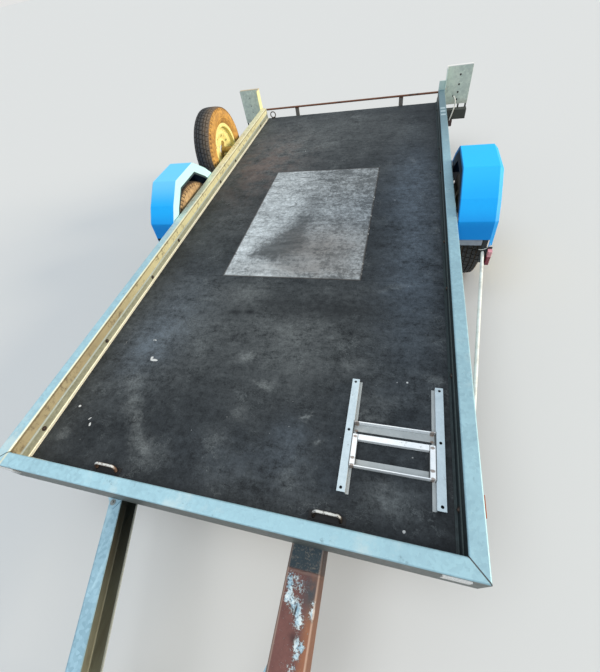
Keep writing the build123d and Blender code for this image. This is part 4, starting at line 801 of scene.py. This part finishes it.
NUT_CIRCLE = 0.050
NUT_COUNT = 4
# from the rim's middle out to the face under its nuts
DISC_OUT = 0.018
hub_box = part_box("hub_right")
rim_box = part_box("rim_right")
axle_y = (hub_box[0].y + hub_box[1].y) / 2
axle_z = (hub_box[0].z + hub_box[1].z) / 2
wheel_x = (rim_box[0].x + rim_box[1].x) / 2
for side, name in ((-1, "left"), (1, "right")):
    places = []
    for count in range(NUT_COUNT):
        turn = 2 * math.pi / NUT_COUNT * (count + 0.5)
        nut_y = axle_y + NUT_CIRCLE * math.cos(turn)
        nut_z = axle_z + NUT_CIRCLE * math.sin(turn)
        places.append(aimed((side * (wheel_x + DISC_OUT), nut_y, nut_z), (side, 0, 0)))
    nuts = repeated(wheel_nut(), "wheel_nuts_" + name, places)
    dressed(nuts, zinc_bolt, "wheel_" + name, "zinc")

# Rims: pressed steel discs and wells, which the nuts hold to the hubs. Their cream lacquer has
# yellowed, and rust comes through at the vents and at the tyres' seats.
rim_cream = Shade.begin("rim_cream")
x, y, z = place()
age = cloud(16, 6, 0.7)
tone = age.blend((0.80, 0.66, 0.18), (0.98, 0.92, 0.46))
tone = cloud(30, 5, 0.75).step(0.58, 0.70).blend(tone, (0.26, 0.11, 0.045))
# painted shade on the right rim's inboard side
inboard_shade = facing(0).step(0.3, 0.1) * (x - half_bed).step(0.0, 0.02)
tone = (inboard_shade * 0.94).blend(tone, (0.030, 0.024, 0.014))
finished(rim_cream, tone, 0.35 + age * 0.3, 0.0, age * 0.5 + cloud(120, 3, 0.6) * 0.3, 0.0004)
painted(rim_cream, "rim_left", "rim_right", "spare_rim")

# Tyres: radial tyres with bulged sidewalls, fine ribs on the shoulders and a tread of five ribs
# that are cut by slots. The treads are dark; the sidewalls are brown with dust and painted low
# sunlight, and the right tyre's are dark with painted shade. The sunward shoulders carry painted
# sunlight and the notches painted shade.
TREAD_STEPS = 240
# distance from the tyre's middle, radius
TYRE_HALF = (
    (0.0527, 0.1526),
    (0.0533, 0.1620),
    (0.0550, 0.1700),
    (0.0580, 0.1718),
    (0.0605, 0.1745),
    (0.0650, 0.1835),
    (0.0690, 0.1950),
    (0.0705, 0.2010),
    (0.0715, 0.2022),
    (0.0712, 0.2050),
    (0.0720, 0.2120),
    (0.0718, 0.2200),
    (0.0700, 0.2300),
    (0.0670, 0.2400),
    (0.0655, 0.2440),
    (0.0650, 0.2470),
    (0.0625, 0.2530),
    (0.0600, 0.2585),
    (0.0570, 0.2635),
    (0.0535, 0.2665),
    (0.0480, 0.2680),
    (0.0360, 0.2695),
    (0.0350, 0.2640),
    (0.0310, 0.2640),
    (0.0300, 0.2702),
    (0.0150, 0.2708),
    (0.0142, 0.2645),
    (0.0108, 0.2645),
    (0.0100, 0.2710),
)
TYRE_INSIDE = ((0.0420, 0.1526), (0.0600, 0.2110), (0.0350, 0.2580))
# half width of the middle rib, of the ribs beside it and of all the slots
RIB_HALVES = (0.0099, 0.0305, 0.056)
TREAD_FLOOR = 0.2655
SLOT_EDGE, SLOT_DEPTH = 0.0012, 0.005
SHOULDER_NOTCHES = 60
# radius of the notches' ends and distance from the tyre's middle to their inner ends
NOTCH_FROM, NOTCH_TO, NOTCH_OUT = 0.247, 0.264, 0.055
NOTCH_DEPTH = 0.003
# radius where the sidewall's tone of dust and painted light begins to thin out, and of the pale
# ring worn into it
WALL_TOP, RING_RADIUS = 0.2560, 0.2025


def tyre_pattern():
    """Tyre about the X axis at the origin: the section's outline, spun, then cut and ribbed."""
    outline = list(TYRE_HALF) + [(-x, radius) for x, radius in reversed(TYRE_HALF)]
    outline += [(-x, radius) for x, radius in TYRE_INSIDE] + list(reversed(TYRE_INSIDE))
    bpy.ops.mesh.primitive_circle_add(vertices=len(outline), radius=0.1, fill_type="NOTHING")
    made = bpy.context.object
    made.name = "tyre_pattern"
    for vertex, (x, radius) in zip(made.data.vertices, outline):
        vertex.co = (x, 0, radius)
    opened(made)
    bpy.ops.mesh.spin(steps=TREAD_STEPS, angle=2 * math.pi, center=(0, 0, 0), axis=(1, 0, 0))
    bpy.ops.mesh.select_all(action="SELECT")
    bpy.ops.mesh.remove_doubles(threshold=0.00005)
    bpy.ops.mesh.normals_make_consistent(inside=False)
    bpy.ops.object.mode_set(mode="OBJECT")

    def spun(face):
        """The face's radius, and the number of its step round the tyre."""
        turn = math.atan2(face.center.y, face.center.z) / (2 * math.pi)
        return math.hypot(face.center.y, face.center.z), int(turn * TREAD_STEPS + TREAD_STEPS)

    def slot_face(mesh, face):
        radius, count = spun(face)
        x = face.center.x
        rib = sum(abs(x) >= half for half in RIB_HALVES[:2])
        on_rib = radius > TREAD_FLOOR and abs(face.normal.x) < 0.6 and abs(x) < RIB_HALVES[2]
        return on_rib and (count + rib * (1 if x > 0 else 3)) % 4 == 0

    def shoulder_face(mesh, face):
        radius, count = spun(face)
        return NOTCH_FROM < radius < NOTCH_TO and abs(face.center.x) > NOTCH_OUT and count % 4 < 2

    def sunk(test, edge, depth):
        """Sinks the faces that pass the test, each inside an edge this wide."""
        pick(made, "polygons", test)
        if edge:
            bpy.ops.mesh.inset(thickness=edge, depth=0, use_boundary=True)
        bpy.ops.mesh.extrude_region_shrink_fatten(TRANSFORM_OT_shrink_fatten={"value": -depth})
        bpy.ops.object.mode_set(mode="OBJECT")

    sunk(slot_face, SLOT_EDGE, SLOT_DEPTH)
    sunk(shoulder_face, 0, NOTCH_DEPTH)
    return smooth(made, 28)


def tyre_rubber(name, middle, dust_and_painted_light, notch_shade_strength, shoulder_sunlight):
    """Dark tread, sidewalls of dust and painted light, painted sunlight on the sunward shoulder and
    painted shade in the notches, by the distance from the wheel's middle.
    """
    rubber = Shade.begin(name)
    x, y, z = place()
    back = y - middle.y
    rise = z - middle.z
    radius = (back * back + rise * rise).math("SQRT")
    round_turn = back.math("ARCTAN2", rise)
    grain = cloud(40, 6, 0.7)
    wipe = cloud(9, 5, 0.7)
    wall = radius.step(TREAD_FLOOR, WALL_TOP)
    tone = grain.blend((0.020, 0.021, 0.023), (0.050, 0.050, 0.050))
    # sidewalls: dust with painted low sunlight, or painted shade where the tone is dark
    sidewall_dust_and_light = (wipe - 0.5) * 2.0 + (grain - 0.5) * 2.6 + 0.55
    sidewall_dust_and_light = sidewall_dust_and_light.blend((dust_and_painted_light[0] * 0.50, dust_and_painted_light[1] * 0.43, dust_and_painted_light[2] * 0.40), dust_and_painted_light)
    # painted sunlight on the shoulder that faces +X
    sunlit_shoulder = (x - middle.x).step(-0.02, 0.050) * (grain * 1.6 - 0.35).over(0.0) * shoulder_sunlight
    tone = sunlit_shoulder.blend(tone, (0.26, 0.18, 0.11))
    tone = (wall * (grain * 0.7 + 0.54)).blend(tone, sidewall_dust_and_light)
    ring = (radius - RING_RADIUS).size().step(0.0022, 0.0008)
    tone = (ring * 0.5).blend(tone, (dust_and_painted_light[0] * 1.5, dust_and_painted_light[1] * 1.5, dust_and_painted_light[2] * 1.4))
    # painted shade in the shoulder notches
    notch_shade = (round_turn * SHOULDER_NOTCHES + wipe * 2).math("SINE").step(0.0, 0.5)
    notch_shade = notch_shade * radius.step(0.2400, 0.2470) * radius.step(0.2690, 0.2660)
    tone = (notch_shade * notch_shade_strength).blend(tone, (0.05, 0.032, 0.02))
    groove = radius.step(0.2675, 0.2640) * radius.step(0.2600, 0.2625)
    tone = (groove * 0.55).blend(tone, (0.12, 0.075, 0.04))
    return finished(rubber, tone, 0.62 + grain * 0.25, 0.0, grain + wipe * 0.5, 0.0006)


pattern = tyre_pattern()
# name, body, sidewall tone of dust and painted light (shade on the right tyre), strength of the
# painted shade in its notches, painted sunlight on its tread's shoulder
TYRES = (
    ("tyre_left", "wheel_left", (0.66, 0.46, 0.23), 0.8, 0.5),
    ("tyre_right", "wheel_right", (0.050, 0.042, 0.034), 0.8, 0.0),
    ("spare_tyre", "chassis", (0.68, 0.37, 0.082), 0.4, 1.2),
)
for node, body, dust_and_painted_light, notch_shade_strength, shoulder_sunlight in TYRES:
    low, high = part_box(node)
    middle = (low + high) / 2
    tyre = added(node + "_treaded", pattern.data.copy())
    tyre.data.transform(Matrix.Translation(middle))
    dressed(tyre, tyre_rubber(node + "_rubber", middle, dust_and_painted_light, notch_shade_strength, shoulder_sunlight), body, "tyre", node)
bpy.data.objects.remove(pattern)

# Mudguards: one steel sheet each, folded over the wheel in flat facets with a skirt to either
# side, on brackets at the rail. The bright blue paint is paler towards the top, and each foot has a
# grey strip. Painted shade darkens the feet, the right guard's inner skirt and the faces towards
# the wheel; the left guard's inner skirt carries painted low sunlight.
guard_low, guard_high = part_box("mudguard_right")
GUARD_SHEET = 0.003
# distance from the axle, height over the rail's top
GUARD_FOLDS = ((0.112, 0.145), (0.228, 0.057), (0.298, -0.016), (0.310, -0.104))
guard_blue = Shade.begin("guard_blue")
x, y, z = place()
chalk = cloud(5, 6, 0.7)
fine = cloud(70, 4, 0.6)
tone = (chalk * 0.9 + fine * 0.25 - 0.1).blend((0.002, 0.34, 0.84), (0.006, 0.46, 0.95))
high = (z - guard_high.z + 0.095).step(0.0, 0.10)
tone = (high * 0.55).blend(tone, (0.035, 0.56, 0.95))
# painted shade: darker blue towards the feet
low = (rail_top + 0.01 - z).step(-0.03, 0.06)
tone = (low * 0.8).blend(tone, (0.001, 0.20, 0.62))
inside = (guard_low.x + GUARD_SHEET + 0.0004 - x.size()).past(0.0004)
left = (-x).past(0.01)
tone = ((1 - inside) * left * high * 0.5).blend(tone, (0.26, 0.64, 0.88))
# painted low sunlight on the left guard's inner skirt
tone = (inside * left * 0.9).blend(tone, (0.62, 0.92, 0.94))
# how far the point lies inside the folds
run = (y - axle_y).size()
rise = z - rail_top
depth = GUARD_FOLDS[0][1] - rise
for (near, top), (far, bottom) in zip(GUARD_FOLDS, GUARD_FOLDS[1:]):
    length = math.hypot(far - near, top - bottom)
    from_facet = (run - near) * ((bottom - top) / length) + (rise - top) * ((near - far) / length)
    depth = depth.under(from_facet)
shade = inside * (1 - left)
tone = (shade * 0.8).blend(tone, (0.002, 0.12, 0.38))
tone = (shade * depth.step(0.012, 0.018)).blend(tone, (0.001, 0.004, 0.020))
# painted shade on the faces under the guards that look towards the wheel
wheelward_shade = (facing(0) * (1 - left * 2)).step(-0.4, -0.7) * (x.size() - guard_low.x).step(0.004, 0.006)
wheelwards = facing(1) * (axle_y - y) + facing(2) * (axle_z - z)
wheelward_shade = wheelward_shade.over(wheelwards.step(0.03, 0.10))
wheelward_shade = wheelward_shade.over(inside * left * depth.step(0.0475, 0.0495))
tone = (wheelward_shade * 0.94).blend(tone, (0.002, 0.009, 0.016))
flank = (x.size() - guard_high.x + 0.019).step(0.0, 0.003)
tone = (flank * (1 - wheelward_shade) * 0.3).blend(tone, (0.02, 0.38, 0.78))
rub = cloud(18, 5, 0.75).step(0.66, 0.76)
tone = (rub * 0.25).blend(tone, (0.30, 0.62, 0.80))
relief = chalk * 0.6 + fine * 0.15
finished(guard_blue, tone, 0.42 + chalk * 0.2, 0.0, relief, 0.0005, Specular_IOR_Level=0.2)
painted(guard_blue, "mudguard_left", "mudguard_right")

strip_grey = Shade.begin("strip_grey")
tone = cloud(20, 5, 0.7).blend((0.16, 0.18, 0.22), (0.34, 0.37, 0.42))
finished(strip_grey, tone, 0.6, 0.1, cloud(60, 4, 0.6), 0.0004)
painted(strip_grey, "mudguard_strips")

# Stay rods: steel bars in chipped pale paint, from under the bed's front corners out to the
# hangers at the mudguards. A thin lead bows from each marker lamp up to its hanger's neck.
HANGER_DEPTH = 0.0068
hanger_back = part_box("stay_rods")[1].y
rod_white = Shade.begin("rod_white")
x, y, z = place()
flake = cloud(26, 6, 0.75)
tone = flake.step(0.40, 0.75).blend((0.74, 0.77, 0.73), (0.50, 0.50, 0.45))
tone = (cloud(48, 4, 0.7).step(0.68, 0.76) * 0.7).blend(tone, (0.30, 0.19, 0.12))
hanger = (y - hanger_back + HANGER_DEPTH).past(0.0004)
tone = hanger.blend(tone, (0.018, 0.026, 0.030))
finished(rod_white, tone, 0.5 + flake * 0.2, 0.0, flake, 0.0005)
painted(rod_white, "stay_rods")

# the leads' thickness, the radius and degrees of their bow, and its middle's place by the lamp
THIN_RADIUS = 0.0014
LEAD_BOW, LEAD_TURN = 0.034, 105
LEAD_IN, LEAD_AHEAD, LEAD_RISE = 0.050, 0.0085, 0.030
bpy.ops.mesh.primitive_circle_add(
    vertices=8, radius=THIN_RADIUS, fill_type="NGON", location=(LEAD_BOW, 0, 0)
)
bow = bpy.context.object
bpy.ops.object.transform_apply()
opened(bow)
bpy.ops.transform.rotate(
    value=math.pi / 2, orient_axis="X", center_override=(LEAD_BOW, 0, 0)
)
bpy.ops.mesh.spin(steps=14, angle=math.radians(LEAD_TURN), center=(0, 0, 0), axis=(0, 0, 1))
bpy.ops.mesh.select_all(action="SELECT")
bpy.ops.mesh.normals_make_consistent(inside=False)
bpy.ops.object.mode_set(mode="OBJECT")
marker_low, marker_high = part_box("marker_lamps")
places = []
for side in (-1, 1):
    at = (side * (marker_high.x - LEAD_IN), hanger_back - LEAD_AHEAD, marker_high.z + LEAD_RISE)
    places.append(Matrix.Translation(at) @ Matrix.Rotation(math.pi / 2, 4, "X"))
marker_leads = repeated(smooth(bow), "marker_leads", places)
dressed(marker_leads, rod_white, "chassis", "pale_rod")

# Marker lamps: small upright plastic lamps, fixed to the hangers in front of the mudguards, with a
# pale top over a red lens that is ribbed across.
marker_lens = Shade.begin("marker_lens")
x, y, z = place()
upper = (z - marker_low.z) / (marker_high.z - marker_low.z)
tone = upper.step(0.60, 0.66).blend((0.22, 0.022, 0.04), (0.70, 0.30, 0.34))
ribs = (z * 1900).math("SINE")
finished(marker_lens, tone, 0.2, 0.0, ribs, 0.0006, Coat_Weight=0.3)
painted(marker_lens, "marker_lamps")

# Reflectors: flat plastic plates, moulded in small cells and fixed to the rails' outer faces. The
# ones on the front rail are white, the ones on the side rails are orange.
for node, pale, deep in (
    ("front_reflectors", (0.78, 0.78, 0.76), (0.60, 0.61, 0.60)),
    ("side_reflectors", (0.56, 0.13, 0.03), (0.36, 0.07, 0.015)),
):
    cell = Shade.begin(node + "_cells")
    x, y, z = place()
    grid = ((x + y) * 2200).math("SINE") * (z * 2200).math("SINE")
    tone = grid.step(-0.2, 0.4).blend(deep, pale)
    finished(cell, tone, 0.15, 0.0, grid, 0.0004, Coat_Weight=0.4)
    painted(cell, node)

# Wiring: a black plastic junction box under the crossbeam, and the round white lead that hangs
# between it and the grommet in the right light board.
black_plastic = Shade.begin("black_plastic")
tone = cloud(40, 5, 0.7).blend((0.022, 0.022, 0.024), (0.10, 0.045, 0.04))
finished(black_plastic, tone, 0.5, 0.0, cloud(150, 3, 0.6), 0.0003)
painted(black_plastic, "junction_box", "coupling_lever")

LEAD_RADIUS = 0.0045
lead_white = Shade.begin("lead_white")
tone = cloud(60, 4, 0.7).blend((0.78, 0.78, 0.74), (0.52, 0.50, 0.44))
finished(lead_white, tone, 0.45, 0.0, cloud(200, 3, 0.6), 0.0002)

# the lead's line, from the board's grommet to the box
LEAD_LINE = (
    (0.825, 2.1085, 0.425),
    (0.829, 2.075, 0.428),
    (0.844, 2.063, 0.395),
    (0.828, 2.0545, 0.318),
    (0.816, 2.0545, 0.276),
)
bpy.ops.curve.primitive_nurbs_path_add()
lead = bpy.context.object
line = lead.data.splines[0]
for point, at in zip(line.points, LEAD_LINE):
    point.co = (*at, 1)
line.order_u = 3
line.use_endpoint_u = True
lead.data.bevel_depth = LEAD_RADIUS
lead.data.use_fill_caps = True
bpy.ops.object.convert(target="MESH")
lead = bpy.context.object
lead.name = "lamp_lead_sleeve"
dressed(smooth(lead), lead_white, "chassis", "white_lead", "lamp_lead")

# Drawbar: two folded channels of galvanised steel, open inwards, that run together from under the
# front rail to the head plates. The left one has a small gusset and bolts at its root.
arm_low, arm_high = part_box("drawbar_arm_left")
bar_zinc = Shade.begin("bar_zinc")
x, y, z = place()
cells = spangle(100)
mottle = cloud(7, 6, 0.7)
tone = (cells * 0.4 + mottle * 0.8 - 0.15).blend((0.17, 0.30, 0.37), (0.36, 0.55, 0.65))
tone = cloud(5, 5, 0.7, (1, 0.3, 1)).step(0.56, 0.66).blend(tone, (0.42, 0.62, 0.70))
# painted shade inside the channels under the front rail, fading to dull zinc ahead of it
ahead = bed_front - y
clear_of_rail_shade = (ahead + mottle * 0.1).step(0.04, 0.66)
trough = clear_of_rail_shade.blend((0.030, 0.034, 0.026), (0.30, 0.30, 0.22))
runs = cloud(16, 4, 0.6, (1, 0.15, 1)).step(0.48, 0.66)
trough = (runs * 0.45).blend(trough, (0.09, 0.075, 0.05))
inwards = facing(0) * ((-x).past(0.005) * 2 - 1)
floor_of = facing(2).step(0.3, 0.6) * (z - arm_low.z).step(0.012, 0.008)
hollow = inwards.step(0.3, 0.6).over(floor_of) * (arm_high.z - z).step(0.0045, 0.0055)
tone = hollow.blend(tone, trough)
edge = (z - arm_low.z).step(0.0046, 0.0040) * inwards.step(0.5, 0.8)
tone = edge.blend(tone, (0.42, 0.45, 0.42))
# the way the left arm's channel opens, and the pale edge of its lower flange
inward = Vector((0.9527, 0.3040))
arm_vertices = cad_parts["drawbar_arm_left"].data.vertices
reach = max(vertex.co.xy.dot(inward) for vertex in arm_vertices)
brink = (x * inward.x + y * inward.y - reach + 0.0042).past(0.0004)
brink = brink * (z - arm_low.z).step(0.008, 0.006)
tone = (brink * (-x).step(0.0, 0.01)).blend(tone, (0.50, 0.52, 0.46))
finished(bar_zinc, tone, 0.4 + mottle * 0.3, 0.3, cells * 0.3 + mottle * 0.5, 0.0006)
painted(bar_zinc, "drawbar_arm_left", "drawbar_arm_right", "drawbar_head_plates")

# the gusset on the left arm's top flange and the bolts by it: x, distance from the front edge
GUSSET_SHEET = 0.003
GUSSET = ((-0.3640, -0.0005), (-0.3125, -0.0005), (-0.3290, -0.0310))
GUSSET_BOLT = (-0.3370, -0.0115)
WEB_BOLT = (-0.3292, -0.0850, 0.296)
arm_gusset = disc(0.03, 0, GUSSET_SHEET, 3)
arm_gusset.name = "arm_gusset"
corners = {}
for vertex in arm_gusset.data.vertices:
    turn = math.atan2(vertex.co.y, vertex.co.x)
    corners.setdefault(round(turn, 2), []).append(vertex)
for (across, back), turn in zip(GUSSET, sorted(corners, reverse=True)):
    for vertex in corners[turn]:
        vertex.co = (across, bed_front + back, arm_high.z + vertex.co.z)
dressed(smooth(arm_gusset, 25), bar_zinc, "chassis", "galvanised")
places = [
    aimed((GUSSET_BOLT[0], bed_front + GUSSET_BOLT[1], arm_high.z + GUSSET_SHEET), (0, 0, 1)),
    aimed((WEB_BOLT[0], bed_front + WEB_BOLT[1], WEB_BOLT[2]), (*inward, 0)),
]
arm_bolts = repeated(hex_bolt(across=0.008, height=0.006, washer=1.15), "arm_bolts", places)
dressed(arm_bolts, dull_zinc, "chassis", "zinc")

# Repair box: a rusty steel tube welded over the cut end of the right arm, with flakes of old
# blue-white paint, a dark navy stretch next to the rail and a rough weld across it.
box_low, box_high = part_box("drawbar_repair_box")
# the same columns, ahead of the front edge: old paint
FLAKES = (
    (0.291, -0.092, 0.010, 0.034, 12, 1.0),
    (0.304, -0.074, 0.016, 0.014, 0, 0.55),
    (0.318, -0.090, 0.024, 0.022, 0, 0.46),
    (0.292, -0.118, 0.010, 0.016, 0, 1.1),
    (0.306, -0.128, 0.010, 0.022, 10, 0.9),
    (0.322, -0.140, 0.014, 0.026, 12, 1.0),
    (0.330, -0.160, 0.012, 0.016, 0, 1.1),
    (0.361, -0.118, 0.007, 0.010, 0, 0.7),
    (0.363, -0.138, 0.009, 0.014, 0, 1.1),
    (0.335, -0.205, 0.009, 0.018, 10, 1.0),
    (0.347, -0.207, 0.008, 0.014, 0, 0.9),
    (0.340, -0.224, 0.010, 0.010, 0, 0.8),
    (0.330, -0.246, 0.016, 0.014, 0, 0.5),
)
# the same columns: dents and scratches
DENTS = (
    (0.3095, -0.1425, 0.0125, 0.0026, -53, 1.0),
    (0.3172, -0.1407, 0.0125, 0.0026, 82, 1.5),
    (0.323, -0.193, 0.010, 0.011, 0, 0.7),
)
NAVY_END = 0.056
repair_rust = Shade.begin("repair_rust")
x, y, z = place()
scale = cloud(24, 7, 0.75)
fine = cloud(130, 4, 0.7)
crust = cloud(70, 7, 0.8)
tone = (scale * 0.9 + fine * 0.4 - 0.2).blend((0.085, 0.036, 0.032), (0.24, 0.10, 0.085))
# painted low sunlight on the box's right side
sunlit_side = (x - box_high.x + 0.034).step(0.0, 0.022)
tone = (sunlit_side * (crust * 0.8 + 0.2)).blend(tone, (0.36, 0.15, 0.065))
flank = haze(x, y, (0.350, -0.098), (0.022, 0.044)) * crust.step(0.25, 0.5)
tone = (flank * 0.95).blend(tone, (0.045, 0.060, 0.070))
crumb = (cloud(200, 6, 0.85) - 0.5) * 3.6
flakes = strongest(marks(x, y, FLAKES)) * 1.1 - 0.5 + crumb + (crust - 0.5) * 1.6
flakes = flakes.step(0.0, 0.16) * facing(2).step(0.4, 0.7)
paint = (cloud(30, 5, 0.7) + crumb * 0.4 - 0.02).step(0.34, 0.64)
paint = paint.blend((0.20, 0.36, 0.47), (0.74, 0.83, 0.84))
paint = (crumb.step(0.22, 0.42) * 0.6).blend(paint, (0.13, 0.12, 0.13))
tone = flakes.blend(tone, paint)
navy = (bed_front - NAVY_END - y).step(0.003, -0.003)
dark_paint = scale.blend((0.008, 0.018, 0.028), (0.045, 0.070, 0.082))
tone = (navy * (1 - crust.step(0.56, 0.66) * 0.5)).blend(tone, dark_paint)
speckle = (crumb + (crust - 0.5) * 2.0).step(0.08, 0.46) * navy
tone = (speckle * 0.6).blend(tone, (0.24, 0.22, 0.18))
weld = (bed_front - NAVY_END - 0.004 - y + (scale - 0.5) * 0.012).size().step(0.006, 0.002)
tone = (weld * (crust * 1.4).under(0.8)).blend(tone, (0.19, 0.12, 0.10))
dents = strongest(marks(x, y, DENTS))
tone = (dents * 0.85).under(0.95).blend(tone, (0.02, 0.012, 0.014))
worn_edge = (x - box_low.x - 0.004).size().under((x - box_high.x + 0.004).size())
worn_edge = worn_edge.step(0.004, 0.0015)
tone = (worn_edge * (1 - navy * 0.5) * 0.7).blend(tone, (0.42, 0.30, 0.24))
side_face = facing(0).size().step(0.5, 0.8)
tone = (side_face * 0.6).blend(tone, (0.09, 0.045, 0.03))
relief = scale + flakes * 0.6 + weld * 1.5 - dents
finished(repair_rust, tone, 0.8 - flakes * 0.3, 0.05, relief, 0.0012)
painted(repair_rust, "drawbar_repair_box")

# Coupling and jockey wheel: steel pressings and tubes with a winding handle, clamped and bolted
# to the drawbar's head. Their zinc plate is a little dull, and the small wheel is of black
# rubber.
bright_zinc = Shade.begin("bright_zinc")
dull = cloud(30, 5, 0.7)
tone = dull.blend((0.50, 0.51, 0.50), (0.32, 0.31, 0.28))
finished(bright_zinc, tone, 0.32 + dull * 0.25, 0.6, dull, 0.0003)
painted(
    bright_zinc,
    "coupling_head",
    "jockey_clamp",
    "jockey_outer_tube",
    "jockey_crank",
    "jockey_inner_tube",
    "jockey_fork",
)
roller_rubber = Shade.begin("roller_rubber")
grain = cloud(60, 5, 0.7)
tone = grain.blend((0.025, 0.025, 0.026), (0.09, 0.075, 0.06))
finished(roller_rubber, tone, 0.7, 0.0, grain, 0.0005)
painted(roller_rubber, "jockey_wheel")

# Lashing points: loops of bent steel rod on the deck behind the front rail, and a ring at the rear
# left corner. Their tops are pale over the rust, partly worn by straps and partly a painted
# highlight.
loop_rust = Shade.begin("loop_rust")
x, y, z = place()
wear = cloud(90, 5, 0.7)
browner = (-x).step(0.0, 0.1) * 0.7
tone = wear.blend((0.018, 0.016, 0.015), (0.075, 0.055, 0.042))
tone = browner.blend(tone, wear.blend((0.10, 0.045, 0.028), (0.27, 0.17, 0.12)))
# pale tops: partly wear from straps, partly a painted highlight
top = facing(2).step(0.45, 0.85) * cloud(150, 4, 0.75).step(0.38, 0.52)
tone = (top * 0.9).blend(tone, (0.76, 0.77, 0.74))
feet = (deck_top + 0.0065 - z).past(0.0005)
tone = feet.blend(tone, (0.014, 0.014, 0.015))
at_rear = (y - bed_front).step(1.4, 1.6)
tone = (at_rear * 0.8).blend(tone, wear.blend((0.03, 0.022, 0.018), (0.11, 0.09, 0.075)))
finished(loop_rust, tone, 0.65, 0.25, wear, 0.0005)
painted(loop_rust, "lashing_staples", "rear_ring")

# Chock frame: a loose frame that lies on the deck, bolted to nothing, of zinc-plated bars, angles
# and tubes. It is scuffed, and the welds at its corners have gone brown.
chock_low, chock_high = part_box("chock_frame")
FLAT_BAR = 0.0045
BAR_TOP = 0.024
BAR_HEIGHT = 0.022
TUBE = 0.017
CROSS_FRONT = 0.076
TUBE_REAR = 0.174
CROSS_REAR = 0.215
# the welds at the tubes' and angles' ends: x from the frame's middle, distances from its front
WELD_OUT = 0.112
WELDS = (0.078, 0.100, 0.166, 0.190, 0.212)
chock_zinc = Shade.begin("chock_zinc")
x, y, z = place()
scuff = cloud(28, 7, 0.75)
fine = cloud(140, 4, 0.7)
middle_x = (chock_low.x + chock_high.x) / 2
across = (x - middle_x).size()
run = y - chock_low.y
web = (chock_high.x - chock_low.x) / 2 - BAR_TOP
low = (chock_low.z + BAR_HEIGHT - z).step(0.002, 0.018)
on_bar = (across - web).past(KEEN)
tone = (scuff * 1.1 + fine * 0.4 - 0.3).blend((0.38, 0.47, 0.52), (0.70, 0.81, 0.86))
inner_tone = (scuff * 1.3 + fine * 0.5 - 0.25).blend((0.70, 0.78, 0.81), (1.0, 1.0, 1.0))
tone = on_bar.blend(inner_tone, tone)
# painted shade on the low flat flanges
flat = (chock_low.z + FLAT_BAR - z).past(0.0005)
tone = (flat * 0.75).blend(tone, scuff.blend((0.10, 0.12, 0.12), (0.30, 0.33, 0.33)))
# painted shade on the bars' upright sides, deeper near the deck
upright = facing(2).size().step(0.6, 0.3)
tone = (upright * on_bar * (low * 0.45 + 0.15)).blend(tone, (0.05, 0.055, 0.055))
seam = (across - web).size().step(0.0022, 0.0008) * run.step(CROSS_FRONT - 0.004, CROSS_FRONT)
seam = seam * run.step(CROSS_REAR + 0.004, CROSS_REAR)
joint = (across - web + TUBE).size().step(0.0016, 0.0006)
joint = joint * run.step(CROSS_FRONT + 0.002, CROSS_FRONT + 0.004)
joint = joint * run.step(TUBE_REAR + 0.001, TUBE_REAR - 0.001)
tone = (seam.over(joint) * 0.85).blend(tone, (0.03, 0.03, 0.028))
weld = strongest(
    [haze(across, run + bed_front, (WELD_OUT, at), (0.010, 0.007)) for at in WELDS]
)
weld = (weld * 1.3 - scuff * 0.8 - cloud(240, 4, 0.8) * 0.9 + 0.1).step(0.0, 0.3)
tone = (weld * 0.8).blend(tone, scuff.blend((0.10, 0.075, 0.06), (0.34, 0.22, 0.15)))
spots = cloud(60, 4, 0.7).step(0.62, 0.72) * cloud(9, 3, 0.6).step(0.42, 0.56)
tone = (spots * 0.75).blend(tone, (0.13, 0.12, 0.11))
finished(chock_zinc, tone, 0.42 + scuff * 0.2, 0.1, scuff + fine * 0.3 + weld, 0.0006)
painted(chock_zinc, "chock_frame")

# Studio: a plain pale floor, an even sky and two wide soft lamps, one low and warm and one
# overhead. The camera stands where the photograph was taken from.
FLOOR_SIZE = 240
bpy.ops.mesh.primitive_plane_add(size=FLOOR_SIZE)
floor = bpy.context.object
floor.name = "studio_floor"
floor_pale = Shade.begin("floor_pale")
finished(floor_pale, (0.60, 0.60, 0.59), 0.9)
floor.data.materials.append(floor_pale)

world = bpy.data.worlds.new("studio_world")
bpy.context.scene.world = world
world.use_nodes = True
Shade.tree = world.node_tree
world.node_tree.nodes.clear()
seen = Shade.node("LightPath", output="Is Camera Ray")
glow = seen.blend((0.50, 0.56, 0.62), (0.78, 0.78, 0.77))
sky = Shade.node("Background", None, {"Color": glow, "Strength": 1.0})
Shade.node("OutputWorld", None, {"Surface": sky})


def soft_sun(name, way, spread, strength, colour):
    """Even light over the whole floor from a wide disc in the sky."""
    data = bpy.data.lights.new(name, "SUN")
    data.energy = strength
    data.angle = math.radians(spread)
    data.color = colour
    lamp = added(name, data)
    lamp.rotation_euler = Vector(way).to_track_quat("-Z", "Y").to_euler()


soft_sun("low_key", (-7.0, -1.2, -1.8), 24, 3.3, (1.0, 0.86, 0.66))
soft_sun("overhead", (1.0, 1.5, -5.6), 50, 1.6, (0.95, 0.98, 1.0))

# the photograph's viewpoint from the middle of the front rail's top, and its turn as a vector
VIEW_FROM_RAIL = Vector((0.49315, -0.09245, 0.94496))
VIEW_TURN = Vector((2.45850, 0.20976, -0.28742))
seen_from = bpy.data.cameras.new("photo_view")
seen_from.lens = 17.829
seen_from.sensor_width = 36
seen_from.shift_x = -0.00119
seen_from.shift_y = 0.00030
seen_from.clip_start = 0.02
camera = added("photo_view", seen_from)
turn = Matrix.Rotation(VIEW_TURN.length, 3, VIEW_TURN.normalized()).transposed()
camera.matrix_world = Matrix.Translation(Vector((0, bed_front, rail_top)) + VIEW_FROM_RAIL) @ (
    turn @ Matrix.Diagonal((1, -1, -1))
).to_4x4()
bpy.context.scene.camera = camera
bpy.context.scene.view_settings.view_transform = "Standard"
